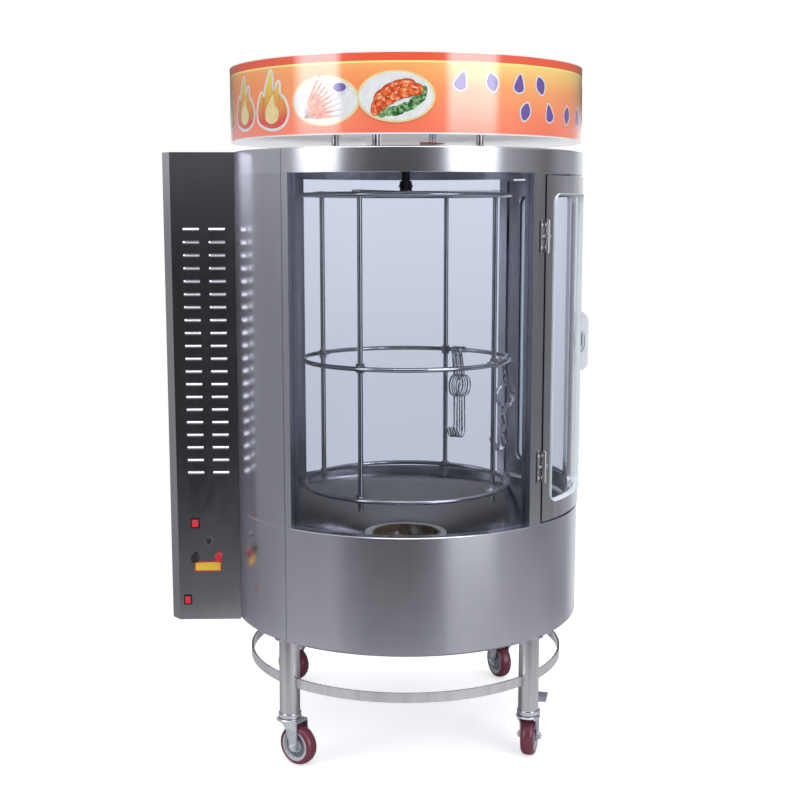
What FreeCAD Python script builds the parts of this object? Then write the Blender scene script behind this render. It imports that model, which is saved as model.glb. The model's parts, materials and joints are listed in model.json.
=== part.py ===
import FreeCAD, Part
import math
import os
import re
import Sketcher

# Commercial rotating roasting oven: a glazed drum on four swivel casters, a hanging cage turned from above,
# a lit sign drum on top and a control and burner box on the left. Millimetres, +Z up, floor at z = 0.
# The drum's own axis stands "axis_shift" to the right of the origin, so that the whole plan is centred.

DIMENSIONS = {
    "axis_shift": 61.0,
    "drum_radius": 425.0,
    "sheet_gauge": 2.0,
    "running_gap": 0.3,
    "base_bottom": 305.0,
    "sill_height": 577.0,
    "opening_top": 1372.0,
    "header_top": 1424.0,
    "post_inner_radius": 397.0,
    "window_half_angle": 39.5,
    "back_half_angle": 41.1,
    "right_post_angle": 5.1,
    "left_post_angle": 2.5,
    "wall_angle": 95.8,
    "glass_radius": 409.0,
    "glass_thickness": 4.0,
    # casters
    "wheel_radius": 47.5,
    "wheel_width": 32.0,
    "hub_radius": 36.0,
    "axle_radius": 5.0,
    "caster_trail": 25.0,
    "caster_height": 112.0,
    "stem_radius": 6.0,
    # legs and foot ring
    "leg_radius": 24.0,
    "leg_wall": 2.5,
    "leg_circle": 388.0,
    "leg_azimuth": 46.5,
    "ring_bottom": 186.0,
    "ring_height": 23.0,
    "ring_thickness": 5.0,
    # oven floor and bowl
    "ledge_height": 555.0,
    "floor_hole_radius": 90.5,
    "floor_hole_height": 482.0,
    "bowl_rim_radius": 103.0,
    "bowl_mouth_radius": 81.5,
    "bowl_base_radius": 61.0,
    "bowl_rim_height": 485.3,
    "bowl_depth": 86.0,
    # doors
    "door_gap_angle": 0.5,
    "door_angle": 44.7,
    "door_inner_radius": 403.0,
    "door_proud": 2.0,
    "door_bottom": 583.0,
    "door_top": 1368.0,
    "stile_angle": 4.3,
    "rail_width": 40.0,
    "door_glass_radius": 413.0,
    "door_corner": 22.0,
    "hinge_height": 72.0,
    "hinge_leaf": 15.0,
    "hinge_stand": 8.0,
    "knuckle_radius": 5.0,
    "pin_radius": 2.5,
    "hinge_low": 712.0,
    "hinge_high": 1233.0,
    "handle_height": 972.0,
    # sign drum
    "sign_radius": 420.0,
    "sign_bottom": 1450.0,
    "sign_top": 1618.0,
    "sign_skin": 3.0,
    # cage
    "cage_radius": 252.0,
    "ring_wire": 5.5,
    "rod_radius": 6.2,
    "rod_circle": 236.0,
    "rod_azimuth": 61.5,
    "top_ring_height": 1327.0,
    "middle_ring_height": 928.0,
    "bottom_ring_height": 618.0,
    "lug_thickness": 5.0,
    "shaft_radius": 10.0,
    "hook_wire": 1.6,
    "hook_bend": 11.5,
    "hook_lean": 10.5,
    "bulb_radius": 28.0,
    "hook_shank": 92.0,
    "hook_tip_bend": 15.0,
    "hook_tip_length": 24.0,
    # side box
    "box_half_depth": 130.0,
    "box_face_end": 553.0,
    "box_side": 573.0,
    "box_side_half": 104.0,
    "louvre_rows": 20.0,
    "louvre_pitch": 30.4,
    "louvre_first": 360.0,
    "louvre_length": 37.5,
    "louvre_radius": 8.0,
    "louvre_column": 506.0,
    "louvre_spacing": 60.0,
    "rocker_across": 511.5,
    "rocker_height": 545.0,
    "button_across": 479.0,
    "button_height": 501.0,
    "knob_across": 513.0,
    "knob_height": 459.0,
    "lever_across": 456.5,
    "lever_height": 464.0,
    "lamp_across": 533.0,
    "lamp_height": 355.0,
    "burner_half_width": 75.0,
    "burner_bottom": 640.0,
    "burner_height": 540.0,
    "burner_face": 388.0,
    "burner_depth": 82.0,
}

doc = FreeCAD.newDocument("RotisserieOven")
sheet = doc.addObject("Spreadsheet::Sheet", "Dimensions")
for row, (name, value) in enumerate(DIMENSIONS.items(), 1):
    sheet.set(f"A{row}", name)
    sheet.set(f"B{row}", str(value))
    sheet.setAlias(f"B{row}", name)
doc.recompute()

UP = FreeCAD.Vector(0, 0, 1)
ACROSS = FreeCAD.Vector(1, 0, 0)
ALONG = FreeCAD.Vector(0, 1, 0)
nodes = []


def cell(text):
    """An expression written with the sheet's plain names, turned into one that FreeCAD can follow."""
    return re.sub(r"\b[a-z]+(?:_[a-z]+)+\b", r"Dimensions.\g<0>", str(text))


def val(text):
    found = sheet.evalExpression(cell(text))
    return float(getattr(found, "Value", found))


def toward(azimuth):
    """Turn about Z that carries +X to a compass angle counted from the front, positive to the right."""
    return FreeCAD.Rotation(UP, azimuth - 90.0)


def polar(radius, azimuth):
    return (f"({radius}) * sin(({azimuth}) * 1 deg)", f"-({radius}) * cos(({azimuth}) * 1 deg)")


def place(obj, x="0", y="0", z="0", turn=FreeCAD.Rotation()):
    obj.Placement = FreeCAD.Placement(FreeCAD.Vector(), turn)
    for axis, text in (("x", x), ("y", y), ("z", z)):
        if str(text) != "0":
            obj.setExpression("Placement.Base." + axis, cell(text))
    return obj


def keep(obj, label):
    obj.Label = label
    nodes.append(obj)
    return obj


def solid(kind, name, where=("0", "0", "0"), turn=FreeCAD.Rotation(), **sizes):
    obj = doc.addObject("Part::" + kind, name)
    for key, text in sizes.items():
        obj.setExpression(key, cell(text))
    return place(obj, *where, turn)


def rod(name, radius, height, where=("0", "0", "0"), turn=FreeCAD.Rotation()):
    return solid("Cylinder", name, where, turn, Radius=radius, Height=height)


def block(name, size, where=("0", "0", "0"), turn=FreeCAD.Rotation()):
    return solid("Box", name, where, turn, Length=size[0], Width=size[1], Height=size[2])


def fuse(name, parts):
    obj = doc.addObject("Part::MultiFuse", name)
    obj.Shapes = parts
    return obj


def cut(name, base, tool):
    obj = doc.addObject("Part::Cut", name)
    obj.Base, obj.Tool = base, tool
    return obj


def group(name, parts):
    obj = doc.addObject("Part::Compound", name)
    obj.Links = parts
    return obj


def at_axis(obj, turn=FreeCAD.Rotation(), x="axis_shift", y="0", z="0"):
    return place(obj, x, y, z, turn)


def new_body(name):
    return doc.addObject("PartDesign::Body", name)


def origin_plane(body, role):
    return next(f for f in body.Origin.OriginFeatures if f.Role == role)


def outline(body, role, points, name="Outline", offset=None):
    """Closed outline on one of the body's origin planes; every corner is held at its two sheet values."""
    sketch = body.newObject("Sketcher::SketchObject", name)
    sketch.AttachmentSupport = (origin_plane(body, role), "")
    sketch.MapMode = "FlatFace"
    if offset is not None:
        sketch.setExpression("AttachmentOffset.Base.z", cell(offset))
    corners = [FreeCAD.Vector(val(a), val(b), 0) for a, b in points]
    count = len(corners)
    for i in range(count):
        sketch.addGeometry(Part.LineSegment(corners[i], corners[(i + 1) % count]), False)
    for i in range(count):
        sketch.addConstraint(Sketcher.Constraint("Coincident", i, 2, (i + 1) % count, 1))
    for i, pair in enumerate(points):
        for kind, text, axis, letter in (
            ("DistanceX", pair[0], -2, "x"),
            ("DistanceY", pair[1], -1, "y"),
        ):
            size = val(text)
            if abs(size) < 1e-9:
                sketch.addConstraint(Sketcher.Constraint("PointOnObject", i, 1, axis))
                continue
            index = sketch.addConstraint(Sketcher.Constraint(kind, -1, 1, i, 1, size))
            sketch.renameConstraint(index, f"{letter}{i}")
            sketch.setExpression(f"Constraints.{letter}{i}", cell(text))
    return sketch


def ring_sketch(body, role, radius, centre=("0", "0"), name="Circle", offset=None):
    sketch = body.newObject("Sketcher::SketchObject", name)
    sketch.AttachmentSupport = (origin_plane(body, role), "")
    sketch.MapMode = "FlatFace"
    if offset is not None:
        sketch.setExpression("AttachmentOffset.Base.z", cell(offset))
    middle = FreeCAD.Vector(val(centre[0]), val(centre[1]), 0)
    sketch.addGeometry(Part.Circle(middle, UP, val(radius)), False)
    index = sketch.addConstraint(Sketcher.Constraint("Radius", 0, val(radius)))
    sketch.renameConstraint(index, "size")
    sketch.setExpression("Constraints.size", cell(radius))
    for kind, text, axis, letter in (
        ("DistanceX", centre[0], -2, "x"),
        ("DistanceY", centre[1], -1, "y"),
    ):
        if abs(val(text)) < 1e-9:
            sketch.addConstraint(Sketcher.Constraint("PointOnObject", 0, 3, axis))
        else:
            index = sketch.addConstraint(Sketcher.Constraint(kind, -1, 1, 0, 3, val(text)))
            sketch.renameConstraint(index, letter)
            sketch.setExpression(f"Constraints.{letter}", cell(text))
    return sketch


def spin(body, sketch, angle="360", groove=False):
    """Turned feature about Z; a part turn is laid evenly to both sides of the sketch."""
    kind = "PartDesign::Groove" if groove else "PartDesign::Revolution"
    feature = body.newObject(kind, "Groove" if groove else "Turned")
    feature.Profile = sketch
    feature.ReferenceAxis = (sketch, ["V_Axis"])
    feature.Midplane = angle != "360"
    feature.setExpression("Angle", cell(angle))
    return feature


def extrude(body, sketch, length, both=False, cutting=False, reverse=False):
    kind = "PartDesign::Pocket" if cutting else "PartDesign::Pad"
    feature = body.newObject(kind, "Pocket" if cutting else "Pad")
    feature.Profile = sketch
    feature.setExpression("Length", cell(length))
    feature.Midplane = both
    feature.Reversed = reverse
    return feature


def turned(label, points, angle="360", azimuth=90.0):
    """Body turned about the drum's axis, centred on a compass angle."""
    body = new_body(label)
    spin(body, outline(body, "XZ_Plane", points), angle)
    return at_axis(body, toward(azimuth))


def panel(inner, outer, bottom, top):
    """Upright rectangle in the radius and height plane."""
    return [(inner, bottom), (outer, bottom), (outer, top), (inner, top)]


# ---------------------------------------------------------------- casters
# Compass angle in which each wheel trails from its stem.
CASTERS = {"fl": (-1, -1, 52.0), "fr": (1, -1, 163.0), "bl": (-1, 1, 232.0), "br": (1, 1, 203.0)}


def leg_point(side, end):
    x = f"{side} * leg_circle * sin(leg_azimuth * 1 deg)"
    y = f"{end} * leg_circle * cos(leg_azimuth * 1 deg)"
    return x, y


def caster_fork(name, braked):
    """Pressed fork in local axes: stem on Z, wheel trailing along +X, axle along Y."""
    arm = "wheel_width / 2 + 2"
    body = new_body(name)
    side = outline(
        body,
        "XZ_Plane",
        [
            ("-24", "caster_height - 4"),
            ("36", "caster_height - 4"),
            ("37", "caster_height - 26"),
            ("caster_trail + 12", "wheel_radius + 4"),
            ("caster_trail + 10", "wheel_radius - 8"),
            ("caster_trail + 5", "wheel_radius - 12"),
            ("caster_trail - 5", "wheel_radius - 12"),
            ("caster_trail - 10", "wheel_radius - 8"),
            ("caster_trail - 12", "wheel_radius + 6"),
            ("4", "caster_height - 28"),
            ("-8", "caster_height - 14"),
            ("-24", "caster_height - 11"),
        ],
    )
    extrude(body, side, f"2 * ({arm} + 3)", both=True)
    hollow = outline(
        body,
        "XZ_Plane",
        [("-60", "10"), ("80", "10"), ("80", "caster_height - 8"), ("-60", "caster_height - 8")],
        "Hollow",
    )
    extrude(body, hollow, f"2 * ({arm})", both=True, cutting=True)
    head = outline(
        body,
        "XZ_Plane",
        [
            ("0", "caster_height - 8"),
            ("28", "caster_height - 8"),
            ("29", "caster_height - 6"),
            ("27", "caster_height - 3"),
            ("21", "caster_height - 2"),
            ("20", "caster_height"),
            ("stem_radius", "caster_height"),
            ("stem_radius", "caster_height + 18"),
            ("0", "caster_height + 18"),
        ],
        "Head",
    )
    spin(body, head)
    axle = ring_sketch(body, "XZ_Plane", "axle_radius", ("caster_trail", "wheel_radius"), "Axle")
    extrude(body, axle, f"2 * ({arm} + 6)", both=True)
    for sign in (1, -1):
        inner = f"{sign} * ({arm} + 3)"
        seat = ring_sketch(body, "XZ_Plane", "8", ("caster_trail", "wheel_radius"), "Nut", inner)
        extrude(body, seat, "4", reverse=sign < 0)
    if braked:
        lugs = ring_sketch(body, "XZ_Plane", "2.5", ("44", "caster_height - 12"), "Pivot")
        extrude(body, lugs, f"2 * ({arm} + 3)", both=True)
        for sign in (1, -1):
            ear = outline(
                body,
                "XZ_Plane",
                [
                    ("22", "caster_height - 22"),
                    ("49", "caster_height - 18"),
                    ("49", "caster_height - 7"),
                    ("30", "caster_height - 6"),
                ],
                "Ear",
                f"{sign} * ({arm})",
            )
            extrude(body, ear, "3", reverse=sign < 0)
    return body


def wheel_hub(name):
    """Turned about local Z, later laid on its axle."""
    body = new_body(name)
    half = "wheel_width / 2"
    spin(
        body,
        outline(
            body,
            "XZ_Plane",
            [
                ("axle_radius + 0.05", f"-{half} - 1"),
                ("13", f"-{half} - 1"),
                ("14", f"-{half} + 5"),
                ("hub_radius - 6", f"-{half} + 5"),
                ("hub_radius - 4", f"-{half} + 1"),
                ("hub_radius", f"-{half} + 1"),
                ("hub_radius", f"{half} - 1"),
                ("hub_radius - 4", f"{half} - 1"),
                ("hub_radius - 6", f"{half} - 5"),
                ("14", f"{half} - 5"),
                ("13", f"{half} + 1"),
                ("axle_radius + 0.05", f"{half} + 1"),
            ],
        ),
    )
    return body


def wheel_tyre(name):
    body = new_body(name)
    half = "wheel_width / 2"
    spin(
        body,
        outline(
            body,
            "XZ_Plane",
            [
                ("hub_radius", f"-{half} + 1"),
                ("hub_radius + 3", f"-{half}"),
                ("wheel_radius - 6.5", f"-{half} + 0.5"),
                ("wheel_radius - 3", f"-{half} + 3"),
                ("wheel_radius - 0.8", f"-{half} + 7.5"),
                ("wheel_radius", "-4"),
                ("wheel_radius", "4"),
                ("wheel_radius - 0.8", f"{half} - 7.5"),
                ("wheel_radius - 3", f"{half} - 3"),
                ("wheel_radius - 6.5", f"{half} - 0.5"),
                ("hub_radius + 3", f"{half}"),
                ("hub_radius", f"{half} - 1"),
            ],
        ),
    )
    return body


def brake_pedal(name):
    """Bent arm on the fork's cross pin with a wide foot plate, in the fork's local axes."""
    body = new_body(name)
    arm = outline(
        body,
        "XZ_Plane",
        [
            ("38.5", "caster_height - 16"),
            ("43", "caster_height - 17"),
            ("49", "caster_height - 16"),
            ("50.5", "caster_height - 8"),
            ("57", "caster_height + 9"),
            ("54", "caster_height + 12"),
            ("45", "caster_height - 5"),
            ("38.5", "caster_height - 8"),
        ],
        "Arm",
    )
    extrude(body, arm, "wheel_width - 4", both=True)
    plate = outline(
        body,
        "XZ_Plane",
        [
            ("55", "caster_height + 8"),
            ("74", "caster_height + 10"),
            ("92", "caster_height + 17"),
            ("91", "caster_height + 20.5"),
            ("73", "caster_height + 14"),
            ("53.5", "caster_height + 12"),
        ],
        "Plate",
    )
    extrude(body, plate, "66", both=True)
    bore = ring_sketch(body, "XZ_Plane", "2.55", ("44", "caster_height - 12"), "Bore")
    extrude(body, bore, "2 * wheel_width", both=True, cutting=True)
    return body


for tag, (side, end, trail) in CASTERS.items():
    x, y = leg_point(side, end)
    braked = side > 0
    turn = toward(trail)
    fork = keep(caster_fork(f"Fork_{tag}", braked), f"caster_{tag}_fork")
    place(fork, f"axis_shift + {x}", y, "0", turn)
    tip = polar("caster_trail", trail)
    spot = (f"axis_shift + {x} + {tip[0]}", f"{y} + {tip[1]}", "wheel_radius")
    on_axle = turn.multiply(FreeCAD.Rotation(ACROSS, 90))
    place(keep(wheel_hub(f"Hub_{tag}"), f"caster_{tag}_hub"), *spot, on_axle)
    place(keep(wheel_tyre(f"Tyre_{tag}"), f"caster_{tag}_tyre"), *spot, on_axle)
    if braked:
        pedal = keep(brake_pedal(f"Pedal_{tag}"), f"brake_pedal_{tag}")
        place(pedal, f"axis_shift + {x}", y, "0", turn)

# ---------------------------------------------------------------- leg frame
leg_parts = []
leg_cores = []
for tag, (side, end, trail) in CASTERS.items():
    x, y = leg_point(side, end)
    height = "base_bottom - caster_height"
    outer = rod(f"LegOuter_{tag}", "leg_radius", height, (x, y, "caster_height"))
    bore = rod(f"LegBore_{tag}", "leg_radius - leg_wall", f"{height} - 24", (x, y, "caster_height + 24"))
    socket = rod(f"LegSocket_{tag}", "stem_radius + 0.05", "19", (x, y, "caster_height"))
    lip = rod(f"LegCollar_{tag}", "leg_radius + 2.5", "9", (x, y, "caster_height"))
    flange = rod(f"LegFlange_{tag}", "34", "4", (x, y, "base_bottom - 4"))
    shell = cut(
        f"Leg_{tag}",
        fuse(f"LegSolid_{tag}", [outer, lip, flange]),
        fuse(f"LegInside_{tag}", [bore, socket]),
    )
    leg_parts.append(shell)
    leg_cores.append(rod(f"LegCore_{tag}", "leg_radius - leg_wall / 2", height, (x, y, "caster_height")))
band_outer = rod("FootRingOuter", "leg_circle + ring_thickness / 2", "ring_height", ("0", "0", "ring_bottom"))
band_inner = rod("FootRingInner", "leg_circle - ring_thickness / 2", "ring_height", ("0", "0", "ring_bottom"))
band = cut("FootRing", cut("FootRingBand", band_outer, band_inner), fuse("FootRingGaps", leg_cores))
keep(at_axis(fuse("LegFrame", leg_parts + [band])), "leg_frame")

# ---------------------------------------------------------------- base, floor, bowl
edge = "drum_radius"
skin = "drum_radius - sheet_gauge"
keep(
    turned(
        "BaseSkirt",
        [
            ("0", "base_bottom"),
            (f"{edge} - 5", "base_bottom"),
            (edge, "base_bottom + 5"),
            (edge, "sill_height - 1"),
            (f"{edge} - 1", "sill_height"),
            ("393", "sill_height"),
            ("393", "ledge_height"),
            ("383", "ledge_height"),
            ("383", "ledge_height - sheet_gauge"),
            ("393 + sheet_gauge", "ledge_height - sheet_gauge"),
            ("393 + sheet_gauge", "sill_height - sheet_gauge"),
            (skin, "sill_height - sheet_gauge"),
            (skin, "base_bottom + 6"),
            (f"{skin} - 4", "base_bottom + sheet_gauge"),
            ("0", "base_bottom + sheet_gauge"),
        ],
    ),
    "base_skirt",
)
keep(
    turned(
        "OvenFloor",
        [
            ("floor_hole_radius", "floor_hole_height - sheet_gauge"),
            ("380", "ledge_height"),
            ("393 - running_gap", "ledge_height"),
            ("393 - running_gap", "ledge_height + sheet_gauge"),
            ("380", "ledge_height + sheet_gauge"),
            ("floor_hole_radius", "floor_hole_height"),
        ],
    ),
    "oven_floor",
)
foot = "bowl_rim_height - bowl_depth"
keep(
    turned(
        "OilBowl",
        [
            ("0", foot),
            ("bowl_base_radius + 1.5", foot),
            ("bowl_mouth_radius + 1.5", "bowl_rim_height - 16"),
            ("bowl_mouth_radius + 1.5", "bowl_rim_height"),
            ("bowl_rim_radius", "bowl_rim_height"),
            ("bowl_rim_radius", "bowl_rim_height + 2.5"),
            ("bowl_mouth_radius", "bowl_rim_height + 2.5"),
            ("bowl_mouth_radius", "bowl_rim_height - 15"),
            ("bowl_base_radius", f"{foot} + 1.5"),
            ("0", f"{foot} + 1.5"),
        ],
    ),
    "oil_bowl",
)

# ---------------------------------------------------------------- header, ceiling, roof
inner = "post_inner_radius"
keep(
    turned(
        "HeaderBand",
        [
            (inner, "opening_top"),
            (edge, "opening_top"),
            (edge, "header_top - 1"),
            (f"{edge} - 1", "header_top"),
            ("395", "header_top"),
            ("395", "header_top - sheet_gauge"),
            (skin, "header_top - sheet_gauge"),
            (skin, "opening_top + sheet_gauge"),
            (f"{inner} + sheet_gauge", "opening_top + sheet_gauge"),
            (f"{inner} + sheet_gauge", "opening_top + 26"),
            (f"{inner} - 14", "opening_top + 26"),
            (f"{inner} - 14", "opening_top + 24"),
            (inner, "opening_top + 24"),
        ],
    ),
    "header_band",
)
keep(
    turned("CeilingPlate", panel("shaft_radius + 5", f"{inner} - 2", "opening_top + 26", "opening_top + 28")),
    "ceiling_plate",
)
keep(
    turned("RoofPlate", panel("shaft_radius + 5", "417", "header_top", "header_top + sheet_gauge")),
    "roof_plate",
)

# ---------------------------------------------------------------- left wall, liner, posts, glass


def burner_window(body, inner_radius, outer_radius):
    tall = panel(
        inner_radius, outer_radius, "burner_bottom - 6", "burner_bottom + burner_height + 6"
    )
    spin(body, outline(body, "XZ_Plane", tall, "Window"), "23.4", groove=True)


for label, near, far in (
    ("side_wall", skin, edge),
    ("inner_liner", inner, f"{inner} + 1.5"),
):
    wall = turned(label.title().replace("_", ""), panel(near, far, "sill_height", "opening_top"), "wall_angle", -90)
    burner_window(wall, f"{near} - 5", f"{far} + 5")
    keep(wall, label)

half = DIMENSIONS["window_half_angle"]
wider = DIMENSIONS["back_half_angle"] - half
right = half + DIMENSIONS["right_post_angle"] / 2
left = -half - DIMENSIONS["left_post_angle"] / 2
slimmer = " - (back_half_angle - window_half_angle)"
posts = []
for index, (azimuth, angle) in enumerate(
    (
        (right, "right_post_angle"),
        (180 - right - wider / 2, "right_post_angle" + slimmer),
        (left, "left_post_angle"),
        (180 - left + wider / 2, "left_post_angle" + slimmer),
    )
):
    post = new_body(f"Post{index}")
    spin(post, outline(post, "XZ_Plane", panel(inner, edge, "sill_height", "opening_top")), angle)
    posts.append(place(post, turn=toward(azimuth)))
keep(at_axis(group("WindowPosts", posts)), "window_posts")
glass = panel("glass_radius", "glass_radius + glass_thickness", "sill_height", "opening_top")
keep(turned("FrontGlass", glass, "2 * window_half_angle", 0), "front_glass")
keep(turned("BackGlass", glass, "2 * back_half_angle", 180), "back_glass")

# ---------------------------------------------------------------- right-hand doors
hinge_azimuth = half + DIMENSIONS["right_post_angle"] + DIMENSIONS["door_gap_angle"] / 2
door_centre = hinge_azimuth + (DIMENSIONS["door_gap_angle"] + DIMENSIONS["door_angle"]) / 2
axis_radius = "drum_radius + hinge_stand"
door_face = "drum_radius + door_proud"


def door_frame(name):
    body = new_body(name)
    spin(
        body,
        outline(body, "XZ_Plane", panel("door_inner_radius", door_face, "door_bottom", "door_top")),
        "door_angle",
    )
    window = panel(
        "door_inner_radius - 5", f"{door_face} + 5", "door_bottom + rail_width", "door_top - rail_width"
    )
    spin(
        body,
        outline(body, "XZ_Plane", window, "Window"),
        "door_angle - 2 * stile_angle",
        groove=True,
    )
    doc.recompute()
    corners = []
    low, high = val("door_bottom + rail_width"), val("door_top - rail_width")
    for index, line in enumerate(body.Shape.Edges, 1):
        heights = [v.Point.z for v in line.Vertexes]
        radial = abs(line.Length - val(f"{door_face} - door_inner_radius")) < 0.01
        if radial and len(heights) == 2 and min(abs(heights[0] - low), abs(heights[0] - high)) < 0.01:
            corners.append(f"Edge{index}")
    window_cut = body.Tip
    round_off = body.newObject("PartDesign::Fillet", "Corners")
    round_off.Base = (window_cut, corners)
    round_off.setExpression("Radius", cell("door_corner"))
    rebate = panel(
        "door_glass_radius - running_gap",
        "door_glass_radius + glass_thickness + running_gap",
        "door_bottom + rail_width - 9",
        "door_top - rail_width + 9",
    )
    spin(
        body,
        outline(body, "XZ_Plane", rebate, "Rebate"),
        "door_angle - 2 * stile_angle + 2.4",
        groove=True,
    )
    return body


def handle(name):
    """Bridge handle in the radius and height plane, its feet on x = 0."""
    body = new_body(name)
    grip = [
        ("0", "-71.5"), ("8", "-71.5"), ("18", "-64"), ("22", "-54"), ("22", "54"), ("18", "64"),
        ("8", "71.5"), ("0", "71.5"), ("0", "30"), ("8", "25"), ("13", "14"), ("14", "0"),
        ("13", "-14"), ("8", "-25"), ("0", "-30"),
    ]  # fmt: skip
    extrude(body, outline(body, "XZ_Plane", grip), "22", both=True)
    doc.recompute()
    long_edges = []
    for index, line in enumerate(body.Shape.Edges, 1):
        box = line.BoundBox
        if box.XMin > 17 and abs(box.YMax) > 10.9 and box.YLength < 0.01:
            long_edges.append(f"Edge{index}")
    block_out = body.Tip
    soften = body.newObject("PartDesign::Fillet", "Softened")
    soften.Base = (block_out, long_edges)
    soften.Radius = 3.0
    return body


def hinge_half(name, way, fixed):
    """Hinge leaves at both heights, in axes with Z on the pin, +X outward and way * +Y toward the door."""
    parts = []
    step = "hinge_height / 5"
    for level, middle in (("Low", "hinge_low"), ("High", "hinge_high")):
        base = f"{middle} - hinge_height / 2"
        stand = "-hinge_stand + running_gap" if fixed else "-hinge_stand + door_proud + running_gap"
        reach = -3.0 if fixed else 5.3
        leaf_near = f"{reach} - hinge_leaf" if fixed else f"{reach}"
        low_y = leaf_near if way > 0 else f"-({leaf_near}) - hinge_leaf"
        pieces = [block(f"{name}Leaf{level}", ("2", "hinge_leaf", "hinge_height"), (stand, low_y, base))]
        for slot in (0, 2, 4) if fixed else (1, 3):
            gap = "0" if fixed else "0.3"
            z = f"{base} + {slot} * {step} + {gap}"
            tall = f"{step} - 2 * {gap}"
            pieces.append(rod(f"{name}Knuckle{level}{slot}", "knuckle_radius", tall, ("0", "0", z)))
            web_low = -6.0 if fixed else 3.2
            web_wide = 3.4
            web_y = web_low if way > 0 else -web_low - web_wide
            deep = f"-1 - ({stand})"
            pieces.append(
                block(f"{name}Web{level}{slot}", (deep, f"{web_wide}", tall), (stand, f"{web_y}", z))
            )
        leaf = fuse(f"{name}{level}Raw", pieces)
        if fixed:
            pin = rod(f"{name}Pin{level}", "pin_radius", "hinge_height + 3", ("0", "0", f"{base} - 1.5"))
            parts.append(fuse(f"{name}{level}", [leaf, pin]))
        else:
            hole = rod(
                f"{name}Bore{level}", "pin_radius + 0.05", "hinge_height + 10", ("0", "0", f"{base} - 5")
            )
            parts.append(cut(f"{name}{level}", leaf, hole))
    return parts


fixed_leaves = []
for word, way in (("Front", 1), ("Rear", -1)):
    tag = word.lower()
    centre = 90 - way * (90 - door_centre)
    swing = 90 - way * (90 - hinge_azimuth)
    keep(at_axis(door_frame(f"Door{word}"), toward(centre)), f"door_{tag}_frame")
    pane = new_body(f"DoorGlass{word}")
    spin(
        pane,
        outline(
            pane,
            "XZ_Plane",
            panel(
                "door_glass_radius",
                "door_glass_radius + glass_thickness",
                "door_bottom + rail_width - 9",
                "door_top - rail_width + 7",
            ),
        ),
        "door_angle - 2 * stile_angle + 2",
    )
    keep(at_axis(pane, toward(centre)), f"door_{tag}_glass")
    grip = keep(handle(f"Handle{word}"), f"door_{tag}_handle")
    grip_azimuth = 90 - way * 2.75
    x, y = polar(f"{door_face} + 0.2", grip_azimuth)
    place(grip, f"axis_shift + {x}", y, "handle_height", toward(grip_azimuth))
    x, y = polar(axis_radius, swing)
    leaves = group(f"HingeMoving{word}", hinge_half(f"Moving{word}", way, False))
    keep(place(leaves, f"axis_shift + {x}", y, "0", toward(swing)), f"door_{tag}_hinges")
    held = group(f"HingeFixed{word}", hinge_half(f"Fixed{word}", way, True))
    fixed_leaves.append(place(held, x, y, "0", toward(swing)))
keep(at_axis(group("PostHinges", fixed_leaves)), "post_hinges")

# ---------------------------------------------------------------- sign drum and drive
keep(
    turned("SignBase", panel("95", "sign_radius", "sign_bottom", "sign_bottom + 3")),
    "sign_base",
)
keep(
    turned("SignSkin", panel("sign_radius - sign_skin", "sign_radius", "sign_bottom + 3", "sign_top")),
    "sign_skin",
)
keep(
    turned(
        "SignLid",
        [
            ("0", "sign_top"),
            ("sign_radius", "sign_top"),
            ("sign_radius", "sign_top + 2"),
            ("0", "sign_top + 2"),
        ],
    ),
    "sign_lid",
)
stands = []
for index, azimuth in enumerate((-23, 65, 157, 245)):
    x, y = polar("190", azimuth)
    stands.append(
        rod(f"Stand{index}", "9", "sign_bottom - header_top - sheet_gauge", (x, y, "header_top + sheet_gauge"))
    )
keep(at_axis(group("SignStands", stands)), "sign_stands")

motor_base = "header_top + sheet_gauge"
gear_case = block("GearCase", ("92", "70", "52"), ("-60", "-35", motor_base))
motor_can = rod("MotorCan", "30", "46", ("-22", "0", f"{motor_base} + 52"))
terminal = block("MotorTerminal", ("34", "24", "20"), ("-94", "-12", f"{motor_base} + 6"))
shaft_bore = rod("GearBore", "shaft_radius + 0.05", "30", ("0", "0", motor_base))
gearmotor = cut("Gearmotor", fuse("GearmotorRaw", [gear_case, motor_can, terminal]), shaft_bore)
keep(at_axis(gearmotor), "gearmotor")

cross_top = "top_ring_height + 10"
shaft = rod("Shaft", "shaft_radius", f"header_top + 27 - ({cross_top})", ("0", "0", cross_top))
boss = rod("ShaftBoss", "15", "24", ("0", "0", cross_top))
screw = rod("ShaftScrew", "3", "34", ("17", "0", f"{cross_top} + 12"), FreeCAD.Rotation(ALONG, -90))
keep(at_axis(fuse("DriveShaft", [shaft, boss, screw])), "drive_shaft")

# ---------------------------------------------------------------- cage
ROD_ANGLES = [DIMENSIONS["rod_azimuth"] + 90 * quarter for quarter in range(4)]


def cage_ring(name, height, cross):
    """Wire ring with a drilled lug at each tie rod; the top ring's lugs are the ends of a bar cross."""
    parts = [solid("Torus", f"{name}Wire", ("0", "0", height), Radius1="cage_radius", Radius2="ring_wire")]
    holes = []
    level = f"{height} + 4" if cross else f"{height} - lug_thickness / 2"
    thick = "6" if cross else "lug_thickness"
    start = "0" if cross else "rod_circle - 13"
    for index, azimuth in enumerate(ROD_ANGLES):
        turn = toward(azimuth)
        x, y = polar(start, azimuth)
        off = polar("11", azimuth - 90)
        corner = (f"{x} + {off[0]}", f"{y} + {off[1]}", level)
        parts.append(block(f"{name}Lug{index}", (f"cage_radius - ({start})", "22", thick), corner, turn))
        x, y = polar("rod_circle", azimuth)
        holes.append(rod(f"{name}Hole{index}", "rod_radius + 0.1", "40", (x, y, f"{height} - 20")))
    if cross:
        parts.append(rod(f"{name}Hub", "26", thick, ("0", "0", level)))
    return at_axis(cut(name, fuse(f"{name}Raw", parts), fuse(f"{name}Holes", holes)))


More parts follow.
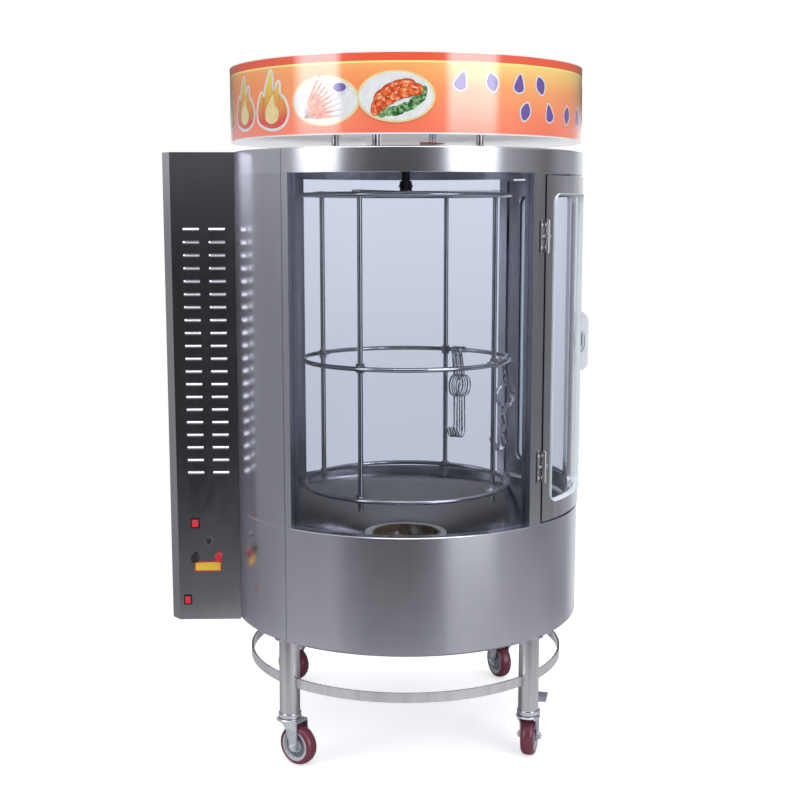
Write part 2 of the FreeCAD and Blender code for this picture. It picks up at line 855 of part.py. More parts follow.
keep(cage_ring("CageTop", "top_ring_height", True), "cage_top_ring")
keep(cage_ring("CageMiddle", "middle_ring_height", False), "cage_middle_ring")
keep(cage_ring("CageBottom", "bottom_ring_height", False), "cage_bottom_ring")

tie_rods = []
nut_levels = {
    "TopUnder": "top_ring_height + 4 - 8",
    "MiddleOver": "middle_ring_height + lug_thickness / 2",
    "MiddleUnder": "middle_ring_height - lug_thickness / 2 - 8",
    "BottomOver": "bottom_ring_height + lug_thickness / 2",
    "BottomUnder": "bottom_ring_height - lug_thickness / 2 - 8",
}
for index, azimuth in enumerate(ROD_ANGLES):
    low = "bottom_ring_height - 28"
    pieces = [rod(f"TieRod{index}", "rod_radius", f"top_ring_height + 11 - ({low})", ("0", "0", low))]
    for word, level in nut_levels.items():
        nut = solid("Prism", f"Nut{word}{index}", ("0", "0", level), Circumradius="10.5", Height="8")
        nut.Polygon = 6
        pieces.append(nut)
    x, y = polar("rod_circle", azimuth)
    tie_rods.append(place(fuse(f"Tie{index}", pieces), x, y, "0", toward(azimuth)))
keep(at_axis(group("CageRods", tie_rods)), "cage_rods")

# ---------------------------------------------------------------- duck hooks
# A hook is bent wire: top crook over the ring, leaning neck, round bulb, long shank and J tip. It hangs in an
# upright plane, with its origin at the centre of the ring's wire and its tip toward +X.


def wire_pipe(edges, radius):
    path = Part.Wire(edges)
    start = edges[0]
    first = start.FirstParameter
    section = Part.Wire([Part.Circle(start.valueAt(first), start.tangentAt(first), radius).toShape()])
    return path.makePipeShell([section], True, True)


def hook_shape():
    wire = val("hook_wire")
    bend = val("hook_bend")
    lean = math.radians(val("hook_lean"))
    bulb = val("bulb_radius")
    tip_bend = val("hook_tip_bend")

    def point(x, z):
        return FreeCAD.Vector(x, 0, z)

    def arc(centre, radius, start, stop):
        spots = [math.radians(a) for a in (start, (start + stop) / 2, stop)]
        ends = [centre + point(radius * math.cos(a), radius * math.sin(a)) for a in spots]
        return Part.Arc(*ends).toShape()

    def line(a, b):
        return Part.LineSegment(a, b).toShape()

    hanging = point(0, val("ring_wire + hook_wire + 0.3") - bend)
    crook_end = hanging + point(bend * math.cos(lean), -bend * math.sin(lean))
    neck_tip = point(0, crook_end.z - crook_end.x / math.tan(lean))
    crook = arc(hanging, bend, 205, -math.degrees(lean))
    upper = wire_pipe([crook, line(crook_end, neck_tip)], wire)
    ring = Part.makeTorus(bulb, wire, neck_tip - point(0, bulb), ALONG)
    shank_top = neck_tip - point(0, 2 * bulb)
    shank_end = shank_top - point(0, val("hook_shank"))
    curl = arc(shank_end + point(tip_bend, 0), tip_bend, 180, 330)
    curl_end = curl.Vertexes[-1].Point
    tip_end = curl_end + point(0.5, math.sqrt(0.75)) * val("hook_tip_length")
    lower = wire_pipe([line(shank_top, shank_end), curl, line(curl_end, tip_end)], wire)
    return upper.fuse([ring, lower]).removeSplitter()


hook = doc.addObject("Part::Feature", "Hook")
hook.Shape = hook_shape()


def hook_bunch(name, azimuth, pitch, twist, swings):
    """Hooks side by side on the middle ring, tips inward, each swung a little in its own plane."""
    copies = []
    for index, swing in enumerate(swings):
        spot = azimuth + (index - (len(swings) - 1) / 2) * pitch
        x, y = polar("cage_radius", spot)
        copy = group(f"{name}{index}", [hook])
        turn = toward(spot + 180 + twist).multiply(FreeCAD.Rotation(ALONG, swing))
        copies.append(place(copy, x, y, "middle_ring_height", turn))
    return at_axis(group(name, copies))


keep(hook_bunch("HooksRear", 144.0, 1.0, 0, (1.5, -1, 2, 0, -2, 1, -1.5, 0.5)), "hook_bunch_rear")
keep(hook_bunch("HooksRight", 93.0, 1.4, 34, (-3, -1, -4, 0, -2, -3.5, -1)), "hook_bunch_right")

# ---------------------------------------------------------------- side box
BOX_TALL = "header_top - base_bottom"
clear_of_drum = "drum_radius + running_gap"


def box_outline(inset):
    """Plan of the box: flat front and back, narrow flat side, slanted corners, open toward the drum."""
    return [
        ("-330", f"-box_half_depth + {inset}"),
        (f"-box_face_end + {inset} * 0.5", f"-box_half_depth + {inset}"),
        (f"-box_side + {inset}", f"-box_side_half + {inset} * 0.4"),
        (f"-box_side + {inset}", f"box_side_half - {inset} * 0.4"),
        (f"-box_face_end + {inset} * 0.5", f"box_half_depth - {inset}"),
        ("-330", f"box_half_depth - {inset}"),
    ]


cover = new_body("BoxCover")
extrude(cover, outline(cover, "XY_Plane", box_outline("0")), BOX_TALL)
extrude(
    cover,
    outline(cover, "XY_Plane", box_outline("sheet_gauge"), "Inside"),
    f"{BOX_TALL} - sheet_gauge",
    cutting=True,
    reverse=True,
)
notch = cover.newObject("PartDesign::SubtractiveCylinder", "DrumSeat")
notch.setExpression("Radius", cell(clear_of_drum))
notch.setExpression("Height", cell(f"{BOX_TALL} + 10"))
notch.Placement = FreeCAD.Placement(FreeCAD.Vector(0, 0, -5), FreeCAD.Rotation())
doc.recompute()
# Control openings through the front sheet, which faces -Y; the sketches lie on the XZ plane.
front = "box_half_depth"


def slot(across, height, wide, tall):
    x, z = f"-{across}", f"{height} - base_bottom"
    return [
        (f"{x} - {wide} / 2", f"{z} - {tall} / 2"),
        (f"{x} + {wide} / 2", f"{z} - {tall} / 2"),
        (f"{x} + {wide} / 2", f"{z} + {tall} / 2"),
        (f"{x} - {wide} / 2", f"{z} + {tall} / 2"),
    ]


for points in (
    slot("rocker_across", "rocker_height", "18.4", "22.4"),
    slot("lamp_across", "lamp_height", "16.4", "21.4"),
):
    extrude(cover, outline(cover, "XZ_Plane", points, "Opening", front), "10", both=True, cutting=True)
for across, height, radius in (
    ("button_across", "button_height", "8"),
    ("knob_across", "knob_height", "5"),
    ("lever_across", "lever_height", "6"),
):
    centre = (f"-{across}", f"{height} - base_bottom")
    extrude(cover, ring_sketch(cover, "XZ_Plane", radius, centre, "Hole", front), "10", both=True, cutting=True)


def hood(radius, back):
    """Quarter-round louvre section in the YZ plane, its straight lower edge open downward."""
    arc = []
    for k in range(6):
        angle = math.radians(90 - 18 * k)
        arc.append(
            (
                f"-box_half_depth - ({radius}) * {math.cos(angle):.4f}",
                f"louvre_first + ({radius}) * {math.sin(angle):.4f}",
            )
        )
    return arc + [(f"-box_half_depth + {back}", "louvre_first")] + (
        [(f"-box_half_depth + {back}", f"louvre_first + ({radius})")] if back != "0" else []
    )


louvre = outline(cover, "YZ_Plane", hood("louvre_radius", "0"), "Hood", "-louvre_column")
raised = extrude(cover, louvre, "louvre_length", both=True)
opening = outline(cover, "YZ_Plane", hood("louvre_radius - 1.2", "4"), "HoodInside", "-louvre_column")
hollow = extrude(cover, opening, "louvre_length - 2.4", both=True, cutting=True)
doc.recompute()
rows = cover.newObject("PartDesign::MultiTransform", "Louvres")
rows.Originals = [raised, hollow]
up = doc.addObject("PartDesign::LinearPattern", "LouvreRows")
beside = doc.addObject("PartDesign::LinearPattern", "LouvreColumns")
for pattern, role, length, count in (
    (up, "Z_Axis", "louvre_pitch * (louvre_rows - 1)", DIMENSIONS["louvre_rows"]),
    (beside, "X_Axis", "louvre_spacing", 2),
):
    cover.addObject(pattern)
    pattern.Direction = (next(f for f in cover.Origin.OriginFeatures if f.Role == role), [""])
    pattern.setExpression("Length", cell(length))
    pattern.Occurrences = int(count)
rows.Transformations = [up, beside]
cover.Tip = rows
at_axis(cover, z="base_bottom")
keep(cover, "box_cover")

box_floor = new_body("BoxFloor")
extrude(box_floor, outline(box_floor, "XY_Plane", box_outline("sheet_gauge")), "sheet_gauge")
notch = box_floor.newObject("PartDesign::SubtractiveCylinder", "DrumSeat")
notch.setExpression("Radius", cell(clear_of_drum))
notch.Height = 20
notch.Placement = FreeCAD.Placement(FreeCAD.Vector(0, 0, -5), FreeCAD.Rotation())
doc.recompute()
for centre, radius in ((("-lever_across", "-40"), "9"), (("-530", "60"), "8.2")):
    hole = ring_sketch(box_floor, "XY_Plane", radius, centre, "Hole")
    extrude(box_floor, hole, "20", both=True, cutting=True)
keep(at_axis(box_floor, z="base_bottom"), "box_floor")

gland = fuse(
    "CableGland",
    [
        rod("GlandThread", "8.1", "14", ("-530", "60", "base_bottom - 6")),
        solid("Prism", "GlandHex", ("-530", "60", "base_bottom - 8"), Circumradius="12", Height="8"),
        rod("GlandDome", "9.5", "12", ("-530", "60", "base_bottom - 20")),
        solid("Prism", "GlandNut", ("-530", "60", "base_bottom + sheet_gauge"), Circumradius="12", Height="5"),
    ],
)
gland_bore = rod("GlandBore", "4", "40", ("-530", "60", "base_bottom - 25"))
keep(at_axis(cut("GlandBored", gland, gland_bore)), "cable_gland")

# ---------------------------------------------------------------- burner and gas line
burner = new_body("BurnerCasing")
reach = "burner_face + burner_depth"
casing = [
    ("-burner_face", "-burner_half_width"),
    ("-burner_face", "burner_half_width"),
    (f"-({reach})", "burner_half_width"),
    (f"-({reach})", "-burner_half_width"),
]
extrude(burner, outline(burner, "XY_Plane", casing), "burner_height")
TILE_TALL = 166.0
for k in range(3):
    low = 12 + k * (TILE_TALL + 9)
    recess = [
        ("-burner_half_width + 10", f"{low}"),
        ("burner_half_width - 10", f"{low}"),
        ("burner_half_width - 10", f"{low + TILE_TALL}"),
        ("-burner_half_width + 10", f"{low + TILE_TALL}"),
    ]
    extrude(
        burner,
        outline(burner, "YZ_Plane", recess, f"Recess{k}", "-burner_face - 18"),
        "40",
        cutting=True,
        reverse=True,
    )
bracket = [("-455", "-20"), ("-455", "20"), ("-459", "20"), ("-459", "-20")]
stand = outline(burner, "XY_Plane", bracket, "Bracket")
extrude(burner, stand, "burner_bottom - base_bottom - sheet_gauge", reverse=True)
keep(at_axis(burner, z="burner_bottom"), "burner_casing")
tiles = [
    block(
        f"Tile{k}",
        ("14", "2 * burner_half_width - 20", f"{TILE_TALL}"),
        ("-burner_face - 18", "-burner_half_width + 10", f"burner_bottom + {12 + k * (TILE_TALL + 9)}"),
    )
    for k in range(3)
]
keep(at_axis(group("BurnerTiles", tiles)), "burner_tiles")

pipe_x, pipe_y, inlet_y = "-lever_across", "-100", "-40"
valve = "lever_height"
feed = "base_bottom + 70"
run_up = "burner_bottom - 26"
manifold = [
    rod("InletPipe", "8", "96", (pipe_x, inlet_y, "base_bottom - 26")),
    solid("Prism", "InletNut", (pipe_x, inlet_y, "base_bottom - 8"), Circumradius="13", Height="8"),
    solid("Sphere", "InletElbow", (pipe_x, inlet_y, feed), Radius="9"),
    rod("FeedPipe", "8", "60", (pipe_x, pipe_y, feed), FreeCAD.Rotation(ACROSS, -90)),
    solid("Sphere", "FeedElbow", (pipe_x, pipe_y, feed), Radius="9"),
    rod("ValveFeed", "8", f"{valve} - 20 - ({feed})", (pipe_x, pipe_y, feed)),
    block("ValveBody", ("34", "26", "44"), (f"{pipe_x} - 17", f"{pipe_y} - 13", f"{valve} - 22")),
    rod(
        "ValveStem", "5", "26", (pipe_x, f"{pipe_y} - 12", valve), FreeCAD.Rotation(ACROSS, 90)
    ),
    rod("RiserPipe", "7", f"{run_up} - {valve}", (pipe_x, pipe_y, valve)),
    solid("Sphere", "RiserElbow", (pipe_x, pipe_y, run_up), Radius="9"),
    rod("CrossPipe", "7", "60", (pipe_x, pipe_y, run_up), FreeCAD.Rotation(ACROSS, -90)),
    solid("Sphere", "CrossElbow", (pipe_x, f"{pipe_y} + 60", run_up), Radius="9"),
    rod("BurnerInlet", "7", "26", (pipe_x, f"{pipe_y} + 60", run_up)),
]
bore = rod("InletBore", "5.5", "30", (pipe_x, inlet_y, "base_bottom - 26"))
keep(at_axis(cut("GasManifold", fuse("GasManifoldRaw", manifold), bore)), "gas_manifold")

# ---------------------------------------------------------------- controls
OUTWARD = FreeCAD.Rotation(ACROSS, 90)
face = "-box_half_depth"


def rocker_frame(name, across, height, wide, tall):
    """Moulded frame: flange on the sheet and sleeve through it, drilled for the rocker's pin."""
    x, z = f"-{across}", height
    flange = block(
        f"{name}Flange",
        (f"{wide} + 6", "2", f"{tall} + 6"),
        (f"{x} - {wide} / 2 - 3", f"{face} - 2", f"{z} - {tall} / 2 - 3"),
    )
    sleeve = block(
        f"{name}Sleeve",
        (f"{wide} + 2.4", "14", f"{tall} + 2.4"),
        (f"{x} - {wide} / 2 - 1.2", f"{face} - 1", f"{z} - {tall} / 2 - 1.2"),
    )
    mouth = block(
        f"{name}Mouth",
        (wide, "40", tall),
        (f"{x} - {wide} / 2", f"{face} - 20", f"{z} - {tall} / 2"),
    )
    pin = rod(
        f"{name}PinHole",
        "1.25",
        f"{wide} + 2",
        (f"{x} - {wide} / 2 - 1", f"{face} + 4", z),
        FreeCAD.Rotation(ALONG, 90),
    )
    return cut(name, fuse(f"{name}Raw", [flange, sleeve]), fuse(f"{name}Inside", [mouth, pin]))


def rocker(name, across, height, wide, tall):
    body = new_body(name)
    side = [
        ("-8.4", f"-{tall} / 2 + 0.9"), ("-6.4", "0"), ("-8.4", f"{tall} / 2 - 0.9"),
        ("-1", f"{tall} / 2 - 1.2"), ("4", "4"), ("4", "-4"), ("-1", f"-{tall} / 2 + 1.2"),
    ]  # fmt: skip
    extrude(body, outline(body, "YZ_Plane", side), f"{wide} - 0.6", both=True)
    pin = ring_sketch(body, "YZ_Plane", "1.2", name="Pin")
    extrude(body, pin, f"{wide} + 1.6", both=True)
    return place(body, f"axis_shift - {across}", f"{face} + 4", height)


def collar(name, across, height, outer, hole, thick):
    where = (f"-{across}", face, height)
    disc = rod(f"{name}Disc", outer, thick, where, OUTWARD)
    inside = rod(f"{name}Hole", hole, "60", (f"-{across}", f"{face} + 30", height), OUTWARD)
    return disc, inside


button_disc, button_hole = collar("ButtonCollar", "button_across", "button_height", "10", "6.6", "4")
sleeve = rod(
    "ButtonSleeve", "7.9", "30", ("-button_across", f"{face} + 28", "button_height"), OUTWARD
)
knob_disc, knob_hole = collar("KnobCollar", "knob_across", "knob_height", "7.5", "4.1", "1.2")
knob_sleeve = rod("KnobSleeve", "4.9", "22", ("-knob_across", f"{face} + 22", "knob_height"), OUTWARD)
lever_disc, lever_hole = collar("LeverCollar", "lever_across", "lever_height", "9.5", "5.6", "1.2")
keep(
    at_axis(
        group(
            "ControlBezels",
            [
                rocker_frame("PowerFrame", "rocker_across", "rocker_height", "15.6", "19.6"),
                rocker_frame("LampFrame", "lamp_across", "lamp_height", "13.6", "18.6"),
                cut("ButtonCollar", fuse("ButtonCollarRaw", [button_disc, sleeve]), button_hole),
                cut("KnobCollar", fuse("KnobCollarRaw", [knob_disc, knob_sleeve]), knob_hole),
                cut("LeverCollar", lever_disc, lever_hole),
            ],
        )
    ),
    "control_bezels",
)
keep(rocker("PowerRocker", "rocker_across", "rocker_height", "15.6", "19.6"), "power_rocker")
keep(rocker("LampRocker", "lamp_across", "lamp_height", "13.6", "18.6"), "lamp_rocker")

plunger = [
    rod("ButtonStem", "6.55", "31", ("0", "0", "0"), OUTWARD),
    rod("ButtonCap", "6.2", "3", ("0", "-30.5", "0"), OUTWARD),
]
place(fuse("IgniterButton", plunger), "axis_shift - button_across", f"{face} + 24", "button_height")
keep(doc.getObject("IgniterButton"), "igniter_button")

knob = [
    rod("KnobSkirt", "10", "5", ("0", "-2", "0"), OUTWARD),
    rod("KnobGrip", "8.4", "16", ("0", "-2", "0"), OUTWARD),
    block("KnobBar", ("4", "5", "18"), ("-2", "-21", "-9")),
    rod("KnobShaft", "4.05", "20", ("0", "17", "0"), OUTWARD),
]
place(fuse("GasKnob", knob), "axis_shift - knob_across", face, "knob_height")
keep(doc.getObject("GasKnob"), "gas_knob")

lever = [
    rod("LeverHub", "8", "10", ("0", "-1.6", "0"), OUTWARD),
    block("LeverArm", ("12", "5", "14"), ("-6", "-11.6", "-9")),
    rod("LeverTip", "6", "5", ("0", "-6.6", "-8"), OUTWARD),
]
lever_socket = rod("LeverSocket", "5.05", "10", ("0", "2", "0"), OUTWARD)
place(
    cut("ValveLever", fuse("ValveLeverRaw", lever), lever_socket),
    "axis_shift - lever_across",
    face,
    "lever_height",
)
keep(doc.getObject("ValveLever"), "valve_lever")

plate = new_body("CautionPlate")
extrude(
    plate,
    outline(plate, "XZ_Plane", [("-32.5", "-12.5"), ("32.5", "-12.5"), ("32.5", "12.5"), ("-32.5", "12.5")]),
    "0.8",
)
place(plate, "axis_shift - 483", face, "437.5")
keep(plate, "caution_plate")

# ---------------------------------------------------------------- check and write
doc.recompute()
failed = [o.Name for o in doc.Objects if {"Invalid", "Error"} & set(o.State)]
if failed:
    raise RuntimeError(f"failed features: {failed}")
labels = [o.Label for o in nodes]
if len(set(labels)) != len(labels) or len(labels) > 60:
    raise RuntimeError(f"{len(labels)} nodes, or a label used twice")
os.makedirs("parts", exist_ok=True)
for obj in nodes:
    shape = obj.Shape
    if shape.isNull() or not shape.isValid() or not shape.Solids:
        raise RuntimeError(f"{obj.Label} has no valid solid")
    if min(s.Volume for s in shape.Solids) <= 0:
        raise RuntimeError(f"{obj.Label} has a solid turned inside out")
    shape.exportStep(os.path.join("parts", obj.Label + ".step"))
    print(f"{obj.Label}: {len(shape.Solids)} solids, {shape.Volume / 1000:.1f} cm3")
print(f"{len(nodes)} nodes")
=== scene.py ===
import json
import math

import bmesh
import bpy
from mathutils import Matrix, Vector


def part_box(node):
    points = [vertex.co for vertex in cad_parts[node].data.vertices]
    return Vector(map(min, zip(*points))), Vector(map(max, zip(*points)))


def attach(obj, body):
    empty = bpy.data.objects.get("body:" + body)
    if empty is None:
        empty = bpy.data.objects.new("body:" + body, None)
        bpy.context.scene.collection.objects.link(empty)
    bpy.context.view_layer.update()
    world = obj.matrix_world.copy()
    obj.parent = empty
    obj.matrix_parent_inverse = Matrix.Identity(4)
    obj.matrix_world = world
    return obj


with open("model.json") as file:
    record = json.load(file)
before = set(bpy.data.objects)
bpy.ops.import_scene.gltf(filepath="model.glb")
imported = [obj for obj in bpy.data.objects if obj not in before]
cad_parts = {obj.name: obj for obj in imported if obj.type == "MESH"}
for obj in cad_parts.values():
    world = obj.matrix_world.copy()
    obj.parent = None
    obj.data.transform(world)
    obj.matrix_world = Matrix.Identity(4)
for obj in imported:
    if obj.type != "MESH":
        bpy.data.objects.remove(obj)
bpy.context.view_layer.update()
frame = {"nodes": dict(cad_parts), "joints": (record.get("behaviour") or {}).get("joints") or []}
nodes = frame["nodes"]
scene = bpy.context.scene


def centre(node):
    low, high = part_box(node)
    return (low + high) / 2


AXIS_X = centre("base_skirt").x
DRUM_R = (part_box("base_skirt")[1].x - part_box("base_skirt")[0].x) / 2
SIGN_R = (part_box("sign_lid")[1].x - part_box("sign_lid")[0].x) / 2
SIGN_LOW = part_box("sign_skin")[0].z
SIGN_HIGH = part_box("sign_skin")[1].z


def around(radius, azimuth, z=0.0):
    """A point by compass angle from the front, positive to the right, about the drum's axis."""
    a = math.radians(azimuth)
    return Vector((AXIS_X + radius * math.sin(a), -radius * math.cos(a), z))


# ------------------------------------------------------------------ materials
class Tree:
    """Small helpers for building a node tree."""

    def __init__(self, tree):
        self.tree = tree
        tree.nodes.clear()

    def link(self, a, b):
        self.tree.links.new(a, b)

    def put(self, socket, value):
        if isinstance(value, bpy.types.NodeSocket):
            self.link(value, socket)
        else:
            socket.default_value = value

    def math(self, operation, a, b=0.0, c=0.0):
        node = self.tree.nodes.new("ShaderNodeMath")
        node.operation = operation
        for socket, value in zip(node.inputs, (a, b, c)):
            self.put(socket, value)
        return node.outputs[0]

    def split(self, vector):
        node = self.tree.nodes.new("ShaderNodeSeparateXYZ")
        self.link(vector, node.inputs[0])
        return node.outputs

    def join(self, x, y, z):
        node = self.tree.nodes.new("ShaderNodeCombineXYZ")
        for socket, value in zip(node.inputs, (x, y, z)):
            self.put(socket, value)
        return node.outputs[0]

    def stretch(self, vector, factors):
        node = self.tree.nodes.new("ShaderNodeVectorMath")
        node.operation = "MULTIPLY"
        self.link(vector, node.inputs[0])
        node.inputs[1].default_value = factors
        return node.outputs[0]

    def reach(self, *parts):
        """Length of a vector from its parts."""
        total = 0.0
        for part in parts:
            total = self.math("ADD", self.math("POWER", part, 2.0), total)
        return self.math("SQRT", total)

    def noise(self, vector, scale=1.0, detail=3.0, rough=0.5):
        node = self.tree.nodes.new("ShaderNodeTexNoise")
        self.link(vector, node.inputs["Vector"])
        node.inputs["Scale"].default_value = scale
        node.inputs["Detail"].default_value = detail
        node.inputs["Roughness"].default_value = rough
        return node.outputs["Fac"]

    def ramp(self, fac, stops):
        node = self.tree.nodes.new("ShaderNodeValToRGB")
        self.put(node.inputs[0], fac)
        while len(node.color_ramp.elements) < len(stops):
            node.color_ramp.elements.new(0.5)
        for element, (at, colour) in zip(node.color_ramp.elements, stops):
            element.position = at
            element.color = (*colour, 1.0) if len(colour) == 3 else colour
        return node.outputs[0]

    def span(self, value, low, high, to_low, to_high, smooth=False):
        node = self.tree.nodes.new("ShaderNodeMapRange")
        node.interpolation_type = "SMOOTHSTEP" if smooth else "LINEAR"
        for socket, number in zip(node.inputs, (value, low, high, to_low, to_high)):
            self.put(socket, number)
        return node.outputs[0]

    def mix(self, fac, a, b, blend="MIX"):
        node = self.tree.nodes.new("ShaderNodeMix")
        node.data_type = "RGBA"
        node.blend_type = blend
        self.put(node.inputs[0], fac)
        for socket, value in ((node.inputs[6], a), (node.inputs[7], b)):
            self.put(socket, (*value, 1.0) if isinstance(value, tuple) and len(value) == 3 else value)
        return node.outputs[2]


class Nodes(Tree):
    """One material's node tree, round a Principled shader."""

    def __init__(self, name):
        self.material = bpy.data.materials.new(name)
        self.material.use_nodes = True
        super().__init__(self.material.node_tree)
        self.out = self.tree.nodes.new("ShaderNodeOutputMaterial")
        self.shader = self.tree.nodes.new("ShaderNodeBsdfPrincipled")
        self.link(self.shader.outputs[0], self.out.inputs[0])
        self.place = self.tree.nodes.new("ShaderNodeTexCoord").outputs["Object"]

    def set(self, **values):
        for key, value in values.items():
            self.put(self.shader.inputs[key.replace("_", " ")], value)
        return self

    def unrolled(self):
        """Drum coordinates in metres: distance round the drum, height, radius."""
        x, y, z = self.split(self.place)
        side = self.math("SUBTRACT", x, AXIS_X)
        front = self.math("MULTIPLY", y, -1.0)
        angle = self.math("ARCTAN2", side, front)
        return self.join(self.math("MULTIPLY", angle, DRUM_R), z, self.reach(side, y))

    def bump(self, height, strength, distance=0.001):
        node = self.tree.nodes.new("ShaderNodeBump")
        node.inputs["Strength"].default_value = strength
        node.inputs["Distance"].default_value = distance
        self.link(height, node.inputs["Height"])
        self.link(node.outputs[0], self.shader.inputs["Normal"])
        return self

    def edge_wear(self, amount=0.004):
        """1 along convex edges, from the geometry's pointiness."""
        point = self.tree.nodes.new("ShaderNodeNewGeometry").outputs["Pointiness"]
        return self.span(point, 0.5 + amount, 0.5 + 4 * amount, 0.0, 1.0, True)


def stainless(name, colour, rough, grain, depth=0.12, blotch=0.06, seams=(), reflection_streaks=0.0, wave=1.0):
    """Brushed steel. grain is 'round' for brushing along the drum's girth, 'up' for upright brushing and
    'tube' for drawn wire. The streak strength adds upright dark bands, a painted reflection of dark
    surroundings; wave gives the sheet's soft dents, and a seam is a dark upright line at a compass angle
    between two heights."""
    m = Nodes(name)
    if grain == "up":
        flow = m.stretch(m.place, (700.0, 700.0, 4.0))
    elif grain == "tube":
        flow = m.stretch(m.place, (90.0, 90.0, 90.0))
    else:
        flow = m.stretch(m.unrolled(), (3.0, 900.0, 3.0))
    lines = m.noise(flow, 1.0, 3.0, 0.7)
    cloud = m.noise(m.place, 5.0, 4.0, 0.6)
    smear = m.noise(m.stretch(m.place, (26.0, 26.0, 9.0)), 1.0, 5.0, 0.65)
    tone = m.span(lines, 0.3, 0.7, 1.0 - depth, 1.0)
    dull = tuple(c * 0.82 for c in colour)
    base = m.mix(m.span(cloud, 0.35, 0.7, 0.0, blotch * 6), colour, dull)
    graded = m.mix(tone, dull, base)
    # Upright dark bands in the colour: painted reflection of dark surroundings, not marks on the steel.
    if reflection_streaks:
        bands = m.noise(m.stretch(m.place, (30.0, 30.0, 0.8)), 1.0, 3.0, 0.6)
        reflected_dark = tuple(c * 0.3 for c in colour)
        graded = m.mix(m.span(bands, 0.42, 0.62, 0.0, reflection_streaks, True), graded, reflected_dark)
    if seams:
        girth, height, _ = m.split(m.unrolled())
        for azimuth, low, high in seams:
            spot = math.radians(azimuth) * DRUM_R
            off = m.math("ABSOLUTE", m.math("SUBTRACT", girth, spot))
            above, below = m.math("GREATER_THAN", height, low), m.math("LESS_THAN", height, high)
            inside = m.math("MULTIPLY", above, below)
            line = m.math("MULTIPLY", m.span(off, 0.0006, 0.0014, 1.0, 0.0), inside)
            graded = m.mix(line, graded, (0.05, 0.05, 0.055))
    wear = m.edge_wear()
    graded = m.mix(m.math("MULTIPLY", wear, 0.35), graded, tuple(min(1.0, c * 1.25) for c in colour))
    wobble = m.math("ADD", m.span(smear, 0.35, 0.75, -0.02, blotch), m.span(lines, 0.3, 0.7, 0.0, 0.05))
    m.set(
        Base_Color=graded,
        Metallic=1.0,
        Roughness=m.math("ADD", wobble, rough),
    )
    dents = m.noise(m.stretch(m.place, (3.0, 3.0, 1.2)), 1.0, 2.0, 0.4)
    height = m.math("ADD", m.math("MULTIPLY", lines, 0.006), m.math("MULTIPLY", dents, wave))
    return m.bump(height, 0.35, 0.002).material


def plain(name, colour, rough, metallic=0.0, grain=400.0, depth=0.08, dirt=0.12, coat=0.0, glow=0.0):
    """Moulded, painted or plated part: fine grain, soft dirt and lighter worn edges; glow, if set, is painted
    light in the part's own colour.
    """
    m = Nodes(name)
    fine = m.noise(m.place, grain, 4.0, 0.6)
    cloud = m.noise(m.place, 14.0, 5.0, 0.65)
    dark = tuple(c * (1.0 - dirt * 2.0) for c in colour)
    shade = m.mix(m.span(cloud, 0.38, 0.68, 0.0, 1.0), colour, dark)
    bright = tuple(min(1.0, c * 1.35 + 0.03) for c in colour)
    shade = m.mix(m.math("MULTIPLY", m.edge_wear(), 0.5), shade, bright)
    m.set(
        Base_Color=shade,
        Metallic=metallic,
        Roughness=m.math("ADD", m.span(cloud, 0.3, 0.7, -0.05, 0.1), rough),
        Coat_Weight=coat,
        Coat_Roughness=0.08,
    )
    # glow makes the part shine in its own colour although it is no lamp: painted light.
    if glow:
        m.set(Emission_Color=(*colour, 1.0), Emission_Strength=glow)
    return m.bump(fine, depth, 0.0004).material


def stained_wire(name):
    """Bright drawn wire with dark heat stains along it."""
    m = Nodes(name)
    patch = m.noise(m.place, 120.0, 3.0, 0.7)
    stain = ((0.36, (0.05, 0.05, 0.06)), (0.46, (0.34, 0.35, 0.38)), (0.54, (0.92, 0.93, 0.97)))
    m.set(Base_Color=m.ramp(patch, stain), Metallic=1.0, Roughness=m.span(patch, 0.35, 0.6, 0.22, 0.08))
    return m.bump(patch, 0.10, 0.0002).material


def window(name, tint):
    """Tempered glass: clear, tinted darker towards the bottom, with a faint smear in its roughness, and open
    to direct light.
    """
    m = Nodes(name)
    _, _, z = m.split(m.place)
    low_tint = tuple(c * 0.91 for c in tint)
    smear = m.noise(m.stretch(m.place, (9.0, 9.0, 3.5)), 1.0, 5.0, 0.7)
    m.set(
        # Colour darker towards the bottom.
        Base_Color=m.mix(m.span(z, 0.80, 1.25, 0.0, 1.0), low_tint, tint),
        Roughness=m.span(smear, 0.45, 0.8, 0.0, 0.05),
        Transmission_Weight=1.0,
        IOR=1.12,
        Specular_IOR_Level=0.9,
    )
    clear = m.tree.nodes.new("ShaderNodeBsdfTransparent")
    clear.inputs[0].default_value = (*tint, 1.0)
    rays = m.tree.nodes.new("ShaderNodeLightPath").outputs["Is Shadow Ray"]
    both = m.tree.nodes.new("ShaderNodeMixShader")
    m.link(rays, both.inputs[0])
    m.link(m.shader.outputs[0], both.inputs[1])
    m.link(clear.outputs[0], both.inputs[2])
    m.link(both.outputs[0], m.out.inputs[0])
    return m.material


def dress(material, *names):
    for name in names:
        mesh = nodes[name].data
        mesh.materials.clear()
        mesh.materials.append(material)


